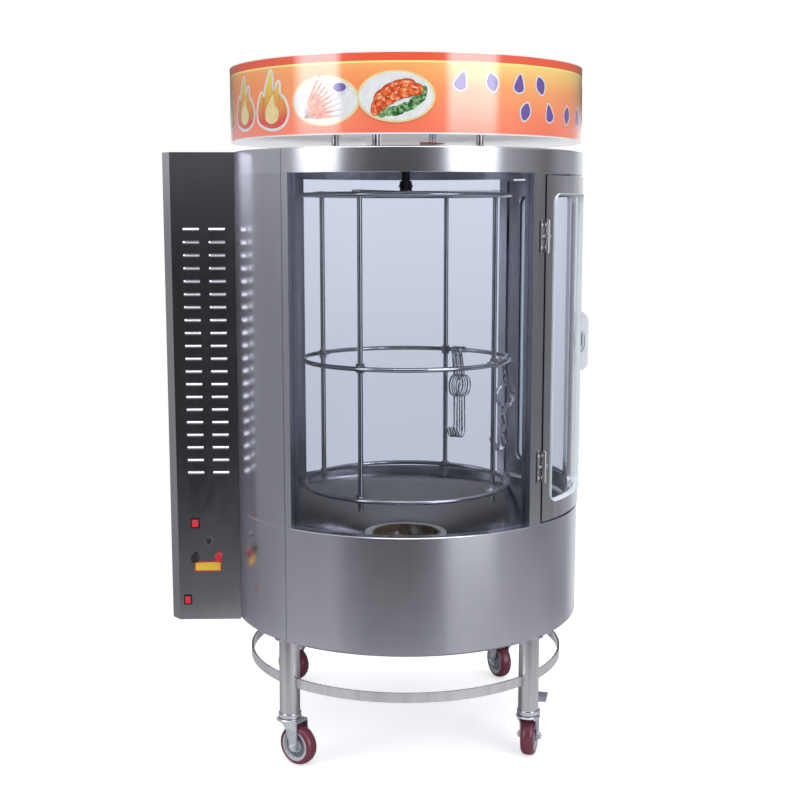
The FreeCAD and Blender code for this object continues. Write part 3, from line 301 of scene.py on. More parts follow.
CORNERS = ("fl", "fr", "bl", "br")
SEAM = (-42.1, 0.0, 2.0)
steel_drum = stainless("steel_drum", (0.60, 0.60, 0.655), 0.19, "round", 0.04, 0.02, seams=(SEAM,))
steel_header = stainless(
    "steel_header", (0.64, 0.64, 0.69), 0.14, "round", 0.04, 0.02, seams=(SEAM,), wave=0.5
)
steel_door = stainless("steel_door", (0.62, 0.62, 0.67), 0.17, "up", 0.05, 0.03, reflection_streaks=0.3)
steel_box = stainless("steel_box", (0.58, 0.575, 0.62), 0.11, "up", 0.05, 0.03)
steel_leg = stainless("steel_leg", (0.70, 0.69, 0.715), 0.15, "up", 0.05, 0.04, reflection_streaks=0.25)
steel_wire = stainless("steel_wire", (0.52, 0.53, 0.55), 0.15, "tube", 0.08, 0.02, wave=0.0)
steel_hook = stained_wire("steel_hook")
steel_inside = stainless("steel_inside", (0.70, 0.70, 0.72), 0.20, "up", 0.06, 0.05, reflection_streaks=0.55)
steel_floor = stainless("steel_floor", (0.275, 0.262, 0.248), 0.12, "round", 0.06, 0.06)
zinc = plain("zinc_plate", (0.66, 0.68, 0.71), 0.30, 1.0, 260.0, 0.10, 0.10)
tyre_red = plain("tyre_red", (0.13, 0.014, 0.034), 0.20, 0.0, 350.0, 0.10, 0.16)
handle_grey = plain("handle_grey", (0.70, 0.71, 0.73), 0.36, 0.0, 600.0, 0.05, 0.05)
sign_white = plain("sign_white", (0.82, 0.84, 0.88), 0.10, 0.0, 30.0, 0.02, 0.02, coat=0.8)
# The gearmotor's glow and pale colour are painted light: they make it look lit in the dim gap under the sign.
motor_paint_painted_glow = plain(
    "motor_paint_painted_glow", (0.80, 0.82, 0.86), 0.25, 0.0, 220.0, 0.14, 0.10, coat=0.3, glow=0.5
)
black_oxide = plain("black_oxide", (0.018, 0.018, 0.02), 0.36, 0.6, 300.0, 0.10, 0.12)
black_plastic = plain("black_plastic", (0.012, 0.012, 0.013), 0.32, 0.0, 700.0, 0.08, 0.05)
red_plastic = plain("red_plastic", (0.62, 0.012, 0.03), 0.22, 0.0, 300.0, 0.03, 0.06, coat=0.5)
brass = plain("brass", (0.62, 0.42, 0.17), 0.30, 1.0, 260.0, 0.10, 0.16)
glass = window("window_glass", (0.845, 0.872, 0.94))

dress(steel_drum, "base_skirt", "side_wall")
dress(steel_header, "header_band", "roof_plate", "sign_stands")
dress(steel_door, "door_front_frame", "door_rear_frame", "window_posts")
dress(steel_box, "box_cover", "box_floor")
dress(steel_leg, "leg_frame", "door_front_hinges", "door_rear_hinges", "post_hinges")
dress(steel_wire, "cage_top_ring", "cage_middle_ring", "cage_bottom_ring", "cage_rods")
dress(steel_hook, "hook_bunch_rear", "hook_bunch_right")
dress(steel_inside, "inner_liner", "ceiling_plate", "burner_casing")
dress(steel_floor, "oven_floor")
dress(handle_grey, "door_front_handle", "door_rear_handle")
dress(sign_white, "sign_base", "sign_lid")
dress(motor_paint_painted_glow, "gearmotor")
dress(black_oxide, "drive_shaft")
dress(brass, "gas_manifold")
dress(black_plastic, "cable_gland", "igniter_button", "gas_knob")
dress(red_plastic, "power_rocker", "lamp_rocker", "valve_lever")
dress(glass, "front_glass", "back_glass", "door_front_glass", "door_rear_glass")
for corner in CORNERS:
    dress(zinc, f"caster_{corner}_fork")
    dress(tyre_red, f"caster_{corner}_tyre")
    if corner.endswith("r"):
        dress(zinc, f"brake_pedal_{corner}")


def bowl_enamel():
    """Cream enamel with a brown film of burnt fat inside the bowl, thinning towards the rim."""
    m = Nodes("bowl_enamel")
    low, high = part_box("oil_bowl")
    x, y, z = m.split(m.place)
    side = m.math("SUBTRACT", x, AXIS_X)
    reach = m.reach(side, y)
    blot = m.noise(m.place, 22.0, 5.0, 0.6)
    edge = m.math("ADD", reach, m.span(blot, 0.3, 0.7, -0.006, 0.006))
    rim = (high.x - low.x) / 2
    film = m.span(edge, rim - 0.022, rim - 0.012, 1.0, 0.0, True)
    brown = m.mix(m.span(blot, 0.35, 0.68, 0.0, 1.0), (0.20, 0.15, 0.09), (0.10, 0.07, 0.04))
    cream = m.mix(m.span(blot, 0.4, 0.7, 0.0, 1.0), (0.74, 0.70, 0.64), (0.60, 0.55, 0.48))
    m.set(Base_Color=m.mix(film, cream, brown), Roughness=m.span(blot, 0.3, 0.7, 0.12, 0.3))
    m.set(Coat_Weight=0.5)
    return m.bump(blot, 0.1, 0.001).material


dress(bowl_enamel(), "oil_bowl")


def caster_hub(corner):
    """Pale rim and boss with a darker dished web between them, measured round the axle."""
    m = Nodes(f"hub_grey_{corner}")
    axle = centre(f"caster_{corner}_hub")
    x, y, z = (m.math("SUBTRACT", part, spot) for part, spot in zip(m.split(m.place), axle))
    reach = m.reach(x, y, z)
    grime = m.noise(m.place, 60.0, 4.0, 0.6)
    reach = m.math("ADD", reach, m.span(grime, 0.3, 0.7, -0.0006, 0.0006))
    inner, outer = m.span(reach, 0.0195, 0.0205, 0.0, 1.0), m.span(reach, 0.0295, 0.031, 1.0, 0.0)
    web = m.math("MULTIPLY", inner, outer)
    pale = m.mix(m.span(grime, 0.4, 0.7, 0.0, 1.0), (0.56, 0.57, 0.60), (0.42, 0.43, 0.46))
    m.set(Base_Color=m.mix(web, pale, (0.13, 0.14, 0.17)), Roughness=m.span(grime, 0.3, 0.7, 0.28, 0.42))
    return m.bump(grime, 0.1, 0.0003).material


for corner in CORNERS:
    dress(caster_hub(corner), f"caster_{corner}_hub")


def control_trim():
    """Black moulded rocker frames, and polished collars round the button, knob and lever."""
    m = Nodes("control_trim")
    _, _, z = m.split(m.place)
    low, high = centre("gas_knob").z - 0.015, centre("igniter_button").z + 0.015
    metal = m.math("MULTIPLY", m.math("GREATER_THAN", z, low), m.math("LESS_THAN", z, high))
    scuff = m.noise(m.place, 300.0, 4.0, 0.6)
    shine = m.mix(scuff, (0.62, 0.62, 0.64), (0.72, 0.72, 0.74))
    black = m.mix(scuff, (0.012, 0.012, 0.013), (0.022, 0.022, 0.024))
    m.set(Base_Color=m.mix(metal, black, shine), Metallic=metal)
    m.set(Roughness=m.span(scuff, 0.3, 0.7, 0.14, 0.26))
    return m.bump(scuff, 0.05, 0.0002).material


dress(control_trim(), "control_bezels")


def ceramic_tiles():
    """Perforated burner plaques: rows of small holes in pale ceramic, their dark colour painted shade."""
    m = Nodes("ceramic_tiles")
    cells = m.tree.nodes.new("ShaderNodeTexVoronoi")
    cells.inputs["Scale"].default_value = 230.0
    cells.inputs["Randomness"].default_value = 0.12
    m.link(m.place, cells.inputs["Vector"])
    hole = m.span(cells.outputs["Distance"], 0.22, 0.34, 1.0, 0.0, True)
    scorch = m.noise(m.place, 9.0, 4.0, 0.6)
    clay = m.mix(m.span(scorch, 0.4, 0.7, 0.0, 1.0), (0.74, 0.64, 0.52), (0.52, 0.42, 0.33))
    # The near-black colour in the holes is painted shade.
    m.set(Base_Color=m.mix(hole, clay, (0.04, 0.03, 0.03)), Roughness=0.85)
    return m.bump(m.math("SUBTRACT", 1.0, hole), 0.6, 0.001).material


dress(ceramic_tiles(), "burner_tiles")


STRIP_DEEP = 0.017
RULE_DEEP = 0.021
SIGN_MID = (SIGN_LOW + SIGN_HIGH) / 2


def sign_gloss(m, colour):
    """Clear laminate over print."""
    return m.set(Base_Color=colour, Roughness=0.13, Coat_Weight=1.0, Coat_Roughness=0.03, Coat_IOR=1.9)


def sign_print():
    """Printed wrap: red strip and thin yellow rule on top, then yellow running down into salmon red."""
    m = Nodes("sign_print")
    girth, height, _ = m.split(m.unrolled())
    level = m.span(height, SIGN_LOW, SIGN_HIGH, 0.0, 1.0)
    ink = m.noise(m.stretch(m.unrolled(), (3.0, 9.0, 1.0)), 1.0, 3.0, 0.5)
    level = m.math("ADD", level, m.span(ink, 0.3, 0.7, -0.035, 0.035))
    warm = m.ramp(
        level,
        (
            (0.0, (0.96, 0.20, 0.11)),
            (0.30, (0.96, 0.26, 0.12)),
            (0.58, (0.96, 0.40, 0.14)),
            (0.88, (0.97, 0.68, 0.20)),
            (1.0, (0.97, 0.77, 0.22)),
        ),
    )
    hot = m.ramp(
        level,
        (
            (0.0, (0.92, 0.16, 0.09)),
            (0.6, (0.96, 0.28, 0.10)),
            (1.0, (0.97, 0.50, 0.15)),
        ),
    )
    drift = m.noise(m.stretch(m.unrolled(), (2.2, 4.0, 1.0)), 1.0, 2.0, 0.5)
    colour = m.mix(m.span(drift, 0.50, 0.66, 0.0, 1.0, True), warm, hot)
    strip = m.math("GREATER_THAN", height, SIGN_HIGH - STRIP_DEEP)
    rule = m.math("GREATER_THAN", height, SIGN_HIGH - RULE_DEEP)
    colour = m.mix(rule, colour, (0.98, 0.83, 0.25))
    colour = m.mix(strip, colour, (0.84, 0.10, 0.04))
    dots = m.noise(m.place, 900.0, 2.0, 0.5)
    sign_gloss(m, colour).set(Emission_Color=colour, Emission_Strength=0.12)
    return m.bump(dots, 0.02, 0.0002).material


dress(sign_print(), "sign_skin")


def caution_print():
    """Yellow plate with a red border; a blank face in place of any wording."""
    m = Nodes("caution_print")
    middle = centre("caution_plate")
    low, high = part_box("caution_plate")
    x, _, z = m.split(m.place)
    half_x, half_z = (high.x - low.x) / 2, (high.z - low.z) / 2
    from_side = m.math("SUBTRACT", half_x, m.math("ABSOLUTE", m.math("SUBTRACT", x, middle.x)))
    from_top = m.math("SUBTRACT", half_z, m.math("ABSOLUTE", m.math("SUBTRACT", z, middle.z)))
    edge = m.math("LESS_THAN", m.math("MINIMUM", from_side, from_top), 0.0028)
    scuff = m.noise(m.place, 160.0, 4.0, 0.6)
    yellow = m.mix(m.span(scuff, 0.4, 0.7, 0.0, 1.0), (0.90, 0.62, 0.06), (0.78, 0.50, 0.06))
    m.set(Base_Color=m.mix(edge, yellow, (0.62, 0.03, 0.06)), Roughness=0.4)
    return m.bump(scuff, 0.1, 0.0002).material


dress(caution_print(), "caution_plate")


# ------------------------------------------------------------------ mesh helpers
def new_piece(name, bm, material, body, smooth=True):
    mesh = bpy.data.meshes.new(name)
    bmesh.ops.recalc_face_normals(bm, faces=bm.faces)
    bm.to_mesh(mesh)
    bm.free()
    for face in mesh.polygons:
        face.use_smooth = smooth
    mesh.materials.append(material)
    piece = bpy.data.objects.new(name, mesh)
    scene.collection.objects.link(piece)
    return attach(piece, body)


def smooth_cad(angle=30.0):
    """CAD meshes shaded smooth over their curved faces, with their edges kept sharp."""
    for node in nodes.values():
        node.data.shade_smooth()
        node.data.set_sharp_from_angle(angle=math.radians(angle))


smooth_cad()

# ------------------------------------------------------------------ printed motifs on the sign drum
STICKER_STRIP = 0.006  # a wrapped motif is cut into strips no wider than this
STICKER_WELD = 2e-5


def sticker(name, middle, height, outline_points, material, lift, tilt=0.0):
    """Flat motif in metres, wrapped on the sign drum round a compass angle and height."""
    bm = bmesh.new()
    turn = math.radians(tilt)
    verts = []
    for x, z in outline_points:
        px = x * math.cos(turn) - z * math.sin(turn)
        pz = x * math.sin(turn) + z * math.cos(turn)
        verts.append(bm.verts.new((px, 0.0, pz)))
    bm.faces.new(verts)
    bmesh.ops.triangulate(bm, faces=bm.faces)
    reach = max(abs(v.co.x) for v in bm.verts)
    steps = int(2 * reach / STICKER_STRIP)
    for k in range(1, steps):
        cut = -reach + 2 * reach * k / steps
        everything = bm.verts[:] + bm.edges[:] + bm.faces[:]
        bmesh.ops.bisect_plane(bm, geom=everything, plane_co=(cut, 0, 0), plane_no=(1, 0, 0))
    bmesh.ops.remove_doubles(bm, verts=bm.verts, dist=STICKER_WELD)
    for v in bm.verts:
        v.co = around(SIGN_R + lift, middle + math.degrees(v.co.x / SIGN_R), height + v.co.z)
    return new_piece(name, bm, material, "oven")


def oval(half_x, half_z, count=56, lean=0.0):
    return [
        (half_x * math.cos(t) + lean * math.sin(t), half_z * math.sin(t))
        for t in (2 * math.pi * k / count for k in range(count))
    ]


def smooth_loop(points, per=8):
    """Closed Catmull-Rom curve through given points."""
    loop = []
    count = len(points)
    for i in range(count):
        a, b, c, d = (Vector((*points[(i + k) % count], 0.0)) for k in (-1, 0, 1, 2))
        for k in range(per):
            t = k / per
            bend = (2 * a - 5 * b + 4 * c - d) * t * t + (3 * b - a - 3 * c + d) * t**3
            p = 0.5 * (2 * b + (c - a) * t + bend)
            loop.append((p.x, p.y))
    return loop


def grown(points, amount):
    """The same anticlockwise outline a little larger, for a border behind it."""
    wide = []
    for i, (x, z) in enumerate(points):
        along = (Vector(points[(i + 1) % len(points)]) - Vector(points[i - 1])).normalized()
        wide.append((x + along.y * amount, z - along.x * amount))
    return wide


def scaled(points, across, up):
    return [(x * across, z * up) for x, z in points]


def ink(name, colour, other=None, low=0.0, high=1.0, mottle=60.0):
    """Printed ink under the same gloss as the wrap: one colour, or two blended upward."""
    m = Nodes(name)
    _, _, z = m.split(m.place)
    patch = m.noise(m.place, mottle, 4.0, 0.6)
    if other:
        level = m.math("ADD", m.span(z, low, high, 0.0, 1.0), m.span(patch, 0.3, 0.7, -0.08, 0.08))
        shade = m.mix(level, colour, other)
    else:
        shade = m.mix(m.span(patch, 0.35, 0.7, 0.0, 1.0), colour, tuple(c * 0.86 for c in colour))
    return sign_gloss(m, shade).bump(patch, 0.02, 0.0002).material


def printed_food(name, stops, scale):
    """Glossy ink mottled through a few tones, like a printed picture of food."""
    m = Nodes(name)
    patch = m.noise(m.place, scale, 5.0, 0.62)
    return sign_gloss(m, m.ramp(patch, stops)).bump(patch, 0.02, 0.0002).material


ink_white = ink("ink_white", (0.90, 0.91, 0.92))
ink_glow = ink("ink_glow", (0.97, 0.80, 0.36))
ink_flame = ink("ink_flame", (0.80, 0.05, 0.03), (0.98, 0.80, 0.10), SIGN_LOW + 0.03, SIGN_HIGH - 0.035)
ink_roast = printed_food(
    "ink_roast",
    (
        (0.34, (0.36, 0.02, 0.01)),
        (0.46, (0.78, 0.08, 0.02)),
        (0.56, (0.93, 0.24, 0.05)),
        (0.66, (0.97, 0.62, 0.34)),
    ),
    95.0,
)
ink_skin = printed_food(
    "ink_skin",
    ((0.36, (0.55, 0.04, 0.01)), (0.50, (0.90, 0.16, 0.03)), (0.62, (0.96, 0.40, 0.12))),
    70.0,
)
ink_gloss = ink("ink_gloss", (0.97, 0.72, 0.45))
ink_crust = ink("ink_crust", (0.48, 0.05, 0.015))
ink_leaf = printed_food(
    "ink_leaf",
    ((0.36, (0.01, 0.07, 0.02)), (0.48, (0.06, 0.28, 0.07)), (0.62, (0.45, 0.66, 0.34))),
    130.0,
)
ink_violet = ink("ink_violet", (0.16, 0.09, 0.42))

FLAME = smooth_loop(
    (
        (0.000, -0.050), (0.022, -0.044), (0.031, -0.024), (0.026, -0.002), (0.016, 0.012),
        (0.015, 0.032), (0.004, 0.016), (0.000, 0.052), (-0.011, 0.026), (-0.015, 0.006),
        (-0.022, 0.014), (-0.030, -0.014), (-0.026, -0.038),
    )
)
FLAME_CORE = smooth_loop(
    (
        (0.000, -0.040), (0.012, -0.034), (0.015, -0.018), (0.008, -0.006), (0.004, 0.012),
        (-0.006, -0.002), (-0.012, -0.014), (-0.012, -0.032),
    )
)
LEAF = smooth_loop(
    ((0.0, -0.014), (0.009, -0.005), (0.010, 0.006), (0.0, 0.017), (-0.010, 0.006), (-0.009, -0.005))
)
DROP = smooth_loop(
    ((0.0, -0.013), (0.010, -0.008), (0.009, 0.002), (0.0, 0.018), (-0.009, 0.002), (-0.010, -0.008))
)
# Across, up, half length, half height and lean of each slice, then across, up and lean of each leaf.
SLICES = (
    (-0.040, -0.020, 0.019, 0.011, 62), (-0.026, -0.010, 0.021, 0.012, 48), (-0.032, 0.002, 0.016, 0.010, 30),
    (-0.010, 0.000, 0.023, 0.013, 36), (-0.014, 0.014, 0.018, 0.011, 18), (0.008, 0.008, 0.024, 0.013, 26),
    (0.004, 0.022, 0.019, 0.010, 8), (0.026, 0.012, 0.022, 0.013, 12), (0.022, 0.026, 0.017, 0.009, -6),
    (0.040, 0.014, 0.016, 0.012, -14),
)
GREENS = (
    (-0.030, -0.034, 80), (-0.016, -0.031, 100), (-0.002, -0.031, 70), (0.010, -0.027, 110),
    (0.022, -0.022, 85), (0.034, -0.017, 120), (0.044, -0.009, 95), (0.053, -0.001, 130),
    (0.056, 0.010, 150),
)


def beside(azimuth, x):
    """Compass angle x metres round the sign from another."""
    return azimuth + math.degrees(x / SIGN_R)


def roast_plate(tag, azimuth, height, size, lift):
    """Carved slices in a heap with a border of leaves."""
    for k, (x, z, lean) in enumerate(GREENS):
        spot, level = beside(azimuth, x * size), height + z * size
        leaf = scaled(LEAF, 0.95 * size, 0.95 * size)
        sticker(f"greens_{tag}_{k}", spot, level, leaf, ink_leaf, lift + 0.0003, lean)
    for k, (x, z, wide, tall, lean) in enumerate(SLICES):
        spot, level = beside(azimuth, x * size), height + z * size
        layer = lift + 0.0004 + 0.0001 * k
        piece = oval(wide * size, tall * size, 28, lean=0.003 * size)
        rim = grown(piece, 0.0016 * size)
        glint = oval(wide * 0.45 * size, tall * 0.16 * size, 16)
        face = ink_skin if k % 3 == 1 else ink_roast
        sticker(f"slice_edge_{tag}_{k}", spot, level, rim, ink_crust, layer, lean)
        sticker(f"slice_{tag}_{k}", spot, level, piece, face, layer + 0.00005, lean)
        level += 0.004 * size
        sticker(f"slice_shine_{tag}_{k}", spot, level, glint, ink_gloss, layer + 0.00008, lean)


def skewer_plate(tag, azimuth, height, size, lift):
    """A fan of skewers beside a small bowl of sauce."""
    stick, meat = oval(0.047 * size, 0.0010 * size, 16), oval(0.031 * size, 0.0034 * size, 20)
    for k in range(9):
        lean = 62.0 - 7.5 * k
        reach = 0.062 - 0.0012 * k
        spot = beside(azimuth, (-0.058 + reach * math.cos(math.radians(lean))) * size)
        level = height + (-0.036 + reach * math.sin(math.radians(lean))) * size
        layer = lift + 0.0003 + 0.00008 * k
        face = (ink_skin, ink_roast)[k % 2]
        sticker(f"stick_{tag}_{k}", spot, level, stick, ink_crust, layer, lean)
        sticker(f"skewer_{tag}_{k}", spot, level, meat, face, layer + 0.00004, lean)
    spot, level = azimuth + 5.0, height + 0.027 * size
    sticker(f"sauce_rim_{tag}", spot, level, oval(0.018, 0.012, 28), ink_white, lift + 0.0008)
    sticker(f"sauce_{tag}", spot, level, oval(0.015, 0.009, 24), ink_violet, lift + 0.0009)


def plate_of_food(tag, azimuth, height, size, lift, food=roast_plate):
    """Yellow glow, white plate and the food on it."""
    sticker(f"plate_glow_{tag}", azimuth, height, oval(0.083 * size, 0.054 * size), ink_glow, lift)
    sticker(f"plate_rim_{tag}", azimuth, height, oval(0.078 * size, 0.050 * size), ink_white, lift + 0.0002)
    food(tag, azimuth, height, size, lift)


def bordered(kind, k, azimuth, height, outline, border, material, tilt=0.0):
    """A motif over a pale border of its own shape."""
    sticker(f"{kind}_edge_{k}", azimuth, height, grown(outline, border), ink_white, 0.0004, tilt)
    sticker(f"{kind}_{k}", azimuth, height, outline, material, 0.0006, tilt)


def sign_motifs():
    """Generic flames, plates and small leaf and drop marks in place of the sign's wording."""
    flame_level = SIGN_MID - 0.008
    for k, (azimuth, scale) in enumerate(((-78.0, 0.92), (-62.0, 1.0), (-46.5, 1.08))):
        across, up = scale * 1.5, scale * 1.1
        bordered("flame", k, azimuth, flame_level, scaled(FLAME, across, up), 0.0062, ink_flame)
        heart = scaled(FLAME_CORE, across, up)
        sticker(f"flame_core_{k}", azimuth, flame_level - 0.002, heart, ink_glow, 0.0008)
    plate_of_food("skewers", -26.5, SIGN_MID - 0.014, 0.98, 0.0004, skewer_plate)
    plate_of_food("front", -4.8, SIGN_MID - 0.008, 1.0, 0.0014)
    plate_of_food("right", 87.0, SIGN_MID, 1.0, 0.0004)
    plate_of_food("back", 178.0, SIGN_MID - 0.008, 1.0, 0.0004)
    upper, lower = SIGN_MID + 0.022, SIGN_MID - 0.036
    marks = [(azimuth, upper, k) for k, azimuth in enumerate((14.0, 24.0, 33.5, 42.5))]
    marks += [(azimuth, lower, k + 1) for k, azimuth in enumerate((36.0, 47.0, 57.5, 68.0))]
    for k, (azimuth, height, kind) in enumerate(marks):
        shape = scaled(LEAF if kind % 2 else DROP, 1.25, 1.25)
        lean = (-18.0, 14.0, -8.0, 22.0)[k % 4]
        bordered("mark", k, azimuth, height, shape, 0.0032, ink_violet, lean)
    for k, azimuth in enumerate((118.0, 138.0, 218.0, 240.0, 262.0)):
        bordered("flame_far", k, azimuth, flame_level, scaled(FLAME, 0.9, 0.95), 0.0055, ink_flame)


sign_motifs()

# ------------------------------------------------------------------ fixings and small fittings
def basis(normal, up=Vector((0, 0, 1))):
    """Rotation whose Z runs along a surface normal."""
    z = Vector(normal).normalized()
    x = up.cross(z)
    x = x.normalized() if x.length > 1e-6 else Vector((1, 0, 0))
    return Matrix((x, z.cross(x), z)).transposed().to_4x4()


def lathe(profile, count=32):
    """Closed turned mesh about Z through (radius, height) points that start and end on the axis."""
    bm = bmesh.new()
    rings = []
    for r, z in profile:
        if r < 1e-7:
            rings.append([bm.verts.new((0, 0, z))])
        else:
            steps = [2 * math.pi * k / count for k in range(count)]
            rings.append([bm.verts.new((r * math.cos(t), r * math.sin(t), z)) for t in steps])
    for low, high in zip(rings, rings[1:]):
        for k in range(count):
            a, b = low[k % len(low)], low[(k + 1) % len(low)]
            c, d = high[(k + 1) % len(high)], high[k % len(high)]
            corners = [v for i, v in enumerate((a, b, c, d)) if v not in (a, b, c, d)[:i]]
            if len(corners) > 2:
                bm.faces.new(corners)
    return bm


def put(bm, spot, normal, spin_angle=0.0):
    bm.transform(Matrix.Translation(spot) @ basis(normal) @ Matrix.Rotation(spin_angle, 4, "Z"))
    return bm


def merge(target, extra):
    mesh = bpy.data.meshes.new("part")
    extra.to_mesh(mesh)
    extra.free()
    target.from_mesh(mesh)
    bpy.data.meshes.remove(mesh)


def cross_screw(radius, dome=0.4):
    """Pan head with a pressed cross recess."""
    rim, top = radius, radius * dome
    profile = [(0.0, top * 0.45), (rim * 0.16, top * 0.45), (rim * 0.3, top * 0.98), (rim * 0.62, top * 0.9)]
    profile += [(rim * 0.88, top * 0.6), (rim, top * 0.2), (rim, -0.0002), (0.0, -0.0002)]
    bm = lathe(profile, 24)
    for v in bm.verts:
        turn = math.atan2(v.co.y, v.co.x) % (math.pi / 2)
        reach = v.co.to_2d().length
        if rim * 0.25 < reach < rim * 0.66 and v.co.z > top * 0.5 and min(turn, math.pi / 2 - turn) < 0.14:
            v.co.z = top * 0.5
    return bm


def hex_nut(radius, height):
    """Chamfered hexagon with a rounded stud end in its middle."""
    bm = bmesh.new()
    rings = []
    for share, z in ((1.0, 0.0), (1.0, height * 0.8), (0.88, height)):
        steps = [math.radians(60 * k) for k in range(6)]
        r = radius * share
        rings.append([bm.verts.new((r * math.cos(t), r * math.sin(t), z)) for t in steps])
    for low, high in zip(rings, rings[1:]):
        for k in range(6):
            bm.faces.new((low[k], low[(k + 1) % 6], high[(k + 1) % 6], high[k]))
    bm.faces.new(rings[0][::-1])
    bm.faces.new(rings[-1])
    stud = [(0.0, height * 1.45), (radius * 0.3, height * 1.4), (radius * 0.45, height * 1.2)]
    merge(bm, lathe(stud + [(radius * 0.45, height * 0.5), (0.0, height * 0.5)], 20))
    return bm


screw_steel = plain("screw_steel", (0.58, 0.58, 0.60), 0.26, 1.0, 500.0, 0.10, 0.14)
seal_grey = plain("seal_grey", (0.66, 0.71, 0.75), 0.40, 0.0, 300.0, 0.12, 0.10)
weld_metal = plain("weld_metal", (0.50, 0.48, 0.46), 0.42, 1.0, 900.0, 0.5, 0.25)
joints = {j["name"]: j for j in frame["joints"]}
DOOR_SIDES = (("front", 1), ("rear", -1))
DOOR_ANGLE = 44.7
DOOR_GAP = 0.2
STILE_ANGLE = 4.3
HINGE_AZIMUTH = 44.85
HINGE_RADIUS = (Vector(joints["door_front_hinge"]["pos_m"]).to_2d() - Vector((AXIS_X, 0.0))).length


HINGE_HALF = 0.0375
LEAF_FACES = {"post": (0.0057, -0.0105), "door": (0.0037, 0.0128)}
SCREW_PITCH = 0.025
SCREW_ZIGZAG = 0.002


def hinge_screws():
    """Three staggered cross screws in every hinge leaf. LEAF_FACES gives each leaf's depth behind the pin
    and the screw row's distance along the leaf from it.
    """
    low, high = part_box("post_hinges")
    levels = (low.z + HINGE_HALF, high.z - HINGE_HALF)
    for word, way in DOOR_SIDES:
        azimuth = 90 - way * (90 - HINGE_AZIMUTH)
        out = around(1, azimuth) - around(0, azimuth)
        along = Vector((-out.y, out.x, 0)) * way
        pin = around(HINGE_RADIUS, azimuth)
        for body, leaf in (("oven", "post"), (f"door_{word}", "door")):
            drop, step = LEAF_FACES[leaf]
            bm = bmesh.new()
            for middle in levels:
                for k in range(3):
                    across = step + SCREW_ZIGZAG * (1 if k == 1 else -1)
                    height = middle + SCREW_PITCH * (k - 1)
                    spot = pin - out * drop + along * across + Vector((0, 0, height))
                    merge(bm, put(cross_screw(0.0036, 0.3), spot, out, 0.4 + 0.7 * k))
            new_piece(f"hinge_screws_{word}_{body}", bm, screw_steel, body)


NUT_SEAT = 0.0212
CAP_SEAT = 0.0157
BEARING_CAP = (
    (0.0068, 0.0), (0.0125, 0.0), (0.0122, 0.0013), (0.0105, 0.0021), (0.0072, 0.0018), (0.0068, 0.0)
)


def caster_fittings():
    """Hex nuts on the axle's ends and pressed caps over the hub's bearings."""
    for tag in CORNERS:
        roll = joints[f"roll_{tag}"]
        axle = Vector(roll["pos_m"])
        side = Vector(roll["axis"])
        nuts = bmesh.new()
        for sign in (1, -1):
            merge(nuts, put(hex_nut(0.0085, 0.006), axle + side * sign * NUT_SEAT, side * sign, 0.3))
        new_piece(f"axle_nuts_{tag}", nuts, zinc, f"caster_{tag}", smooth=False)
        caps = bmesh.new()
        for sign in (1, -1):
            merge(caps, put(lathe(BEARING_CAP, 36), axle + side * sign * CAP_SEAT, side * sign))
        new_piece(f"bearing_caps_{tag}", caps, zinc, f"wheel_{tag}")


FOOT_RING_LOW = 0.186
FOOT_RING_TALL = 0.023
FLANGE_WELD = 0.299
LEG_WELD_R = 0.0242


def skin(bm, loops, closed):
    """Quads between neighbouring loops; open runs get an end face each."""
    pairs = list(zip(loops, loops[1:] + loops[:1])) if closed else list(zip(loops, loops[1:]))
    for a, b in pairs:
        for s in range(len(a)):
            t = (s + 1) % len(a)
            bm.faces.new((a[s], a[t], b[t], b[s]))
    if not closed:
        bm.faces.new(loops[0][::-1])
        bm.faces.new(loops[-1])


def circle(count):
    return [2 * math.pi * k / count for k in range(count)]


def weld_beads():
    """Rippled fillets where the foot ring meets each leg and where each leg meets its flange."""
    for tag in CORNERS:
        stem = Vector(joints[f"swivel_{tag}"]["pos_m"])
        arm = stem.to_2d() - Vector((AXIS_X, 0.0))
        bm = bmesh.new()
        for sign in (1, -1):
            turn = math.atan2(arm.y, arm.x) + sign * 0.0236 / arm.length
            out = Vector((math.cos(turn), math.sin(turn), 0.0))
            for face in (1, -1):
                spot = Vector((AXIS_X, 0.0, 0.0)) + out * (arm.length + face * 0.0026)
                loops = []
                for k in range(15):
                    z = FOOT_RING_LOW + FOOT_RING_TALL * k / 14
                    swell = 0.0022 + 0.0005 * math.sin(k * 2.4 + sign)
                    ring = [spot + Vector((swell * math.cos(t), swell * math.sin(t), z)) for t in circle(8)]
                    loops.append([bm.verts.new(p) for p in ring])
                skin(bm, loops, closed=False)
        loops = []
        for k, t in enumerate(circle(72)):
            swell = 0.0026 + 0.0004 * math.sin(k * 1.9)
            loop = []
            for u in circle(6):
                r = LEG_WELD_R + swell * math.cos(u)
                z = FLANGE_WELD + swell * 0.9 * math.sin(u)
                loop.append(bm.verts.new((stem.x + r * math.cos(t), stem.y + r * math.sin(t), z)))
            loops.append(loop)
        skin(bm, loops, closed=True)
        new_piece(f"weld_{tag}", bm, weld_metal, "oven")


SEAL_SECTION = (
    (0.4172, -0.0004), (0.4303, -0.0004), (0.4303, 0.0005), (0.4192, 0.0010), (0.4172, 0.0046)
)
PANE_R = 0.42
PANE_CORNER = 0.022
SEAL_STEP = 0.02


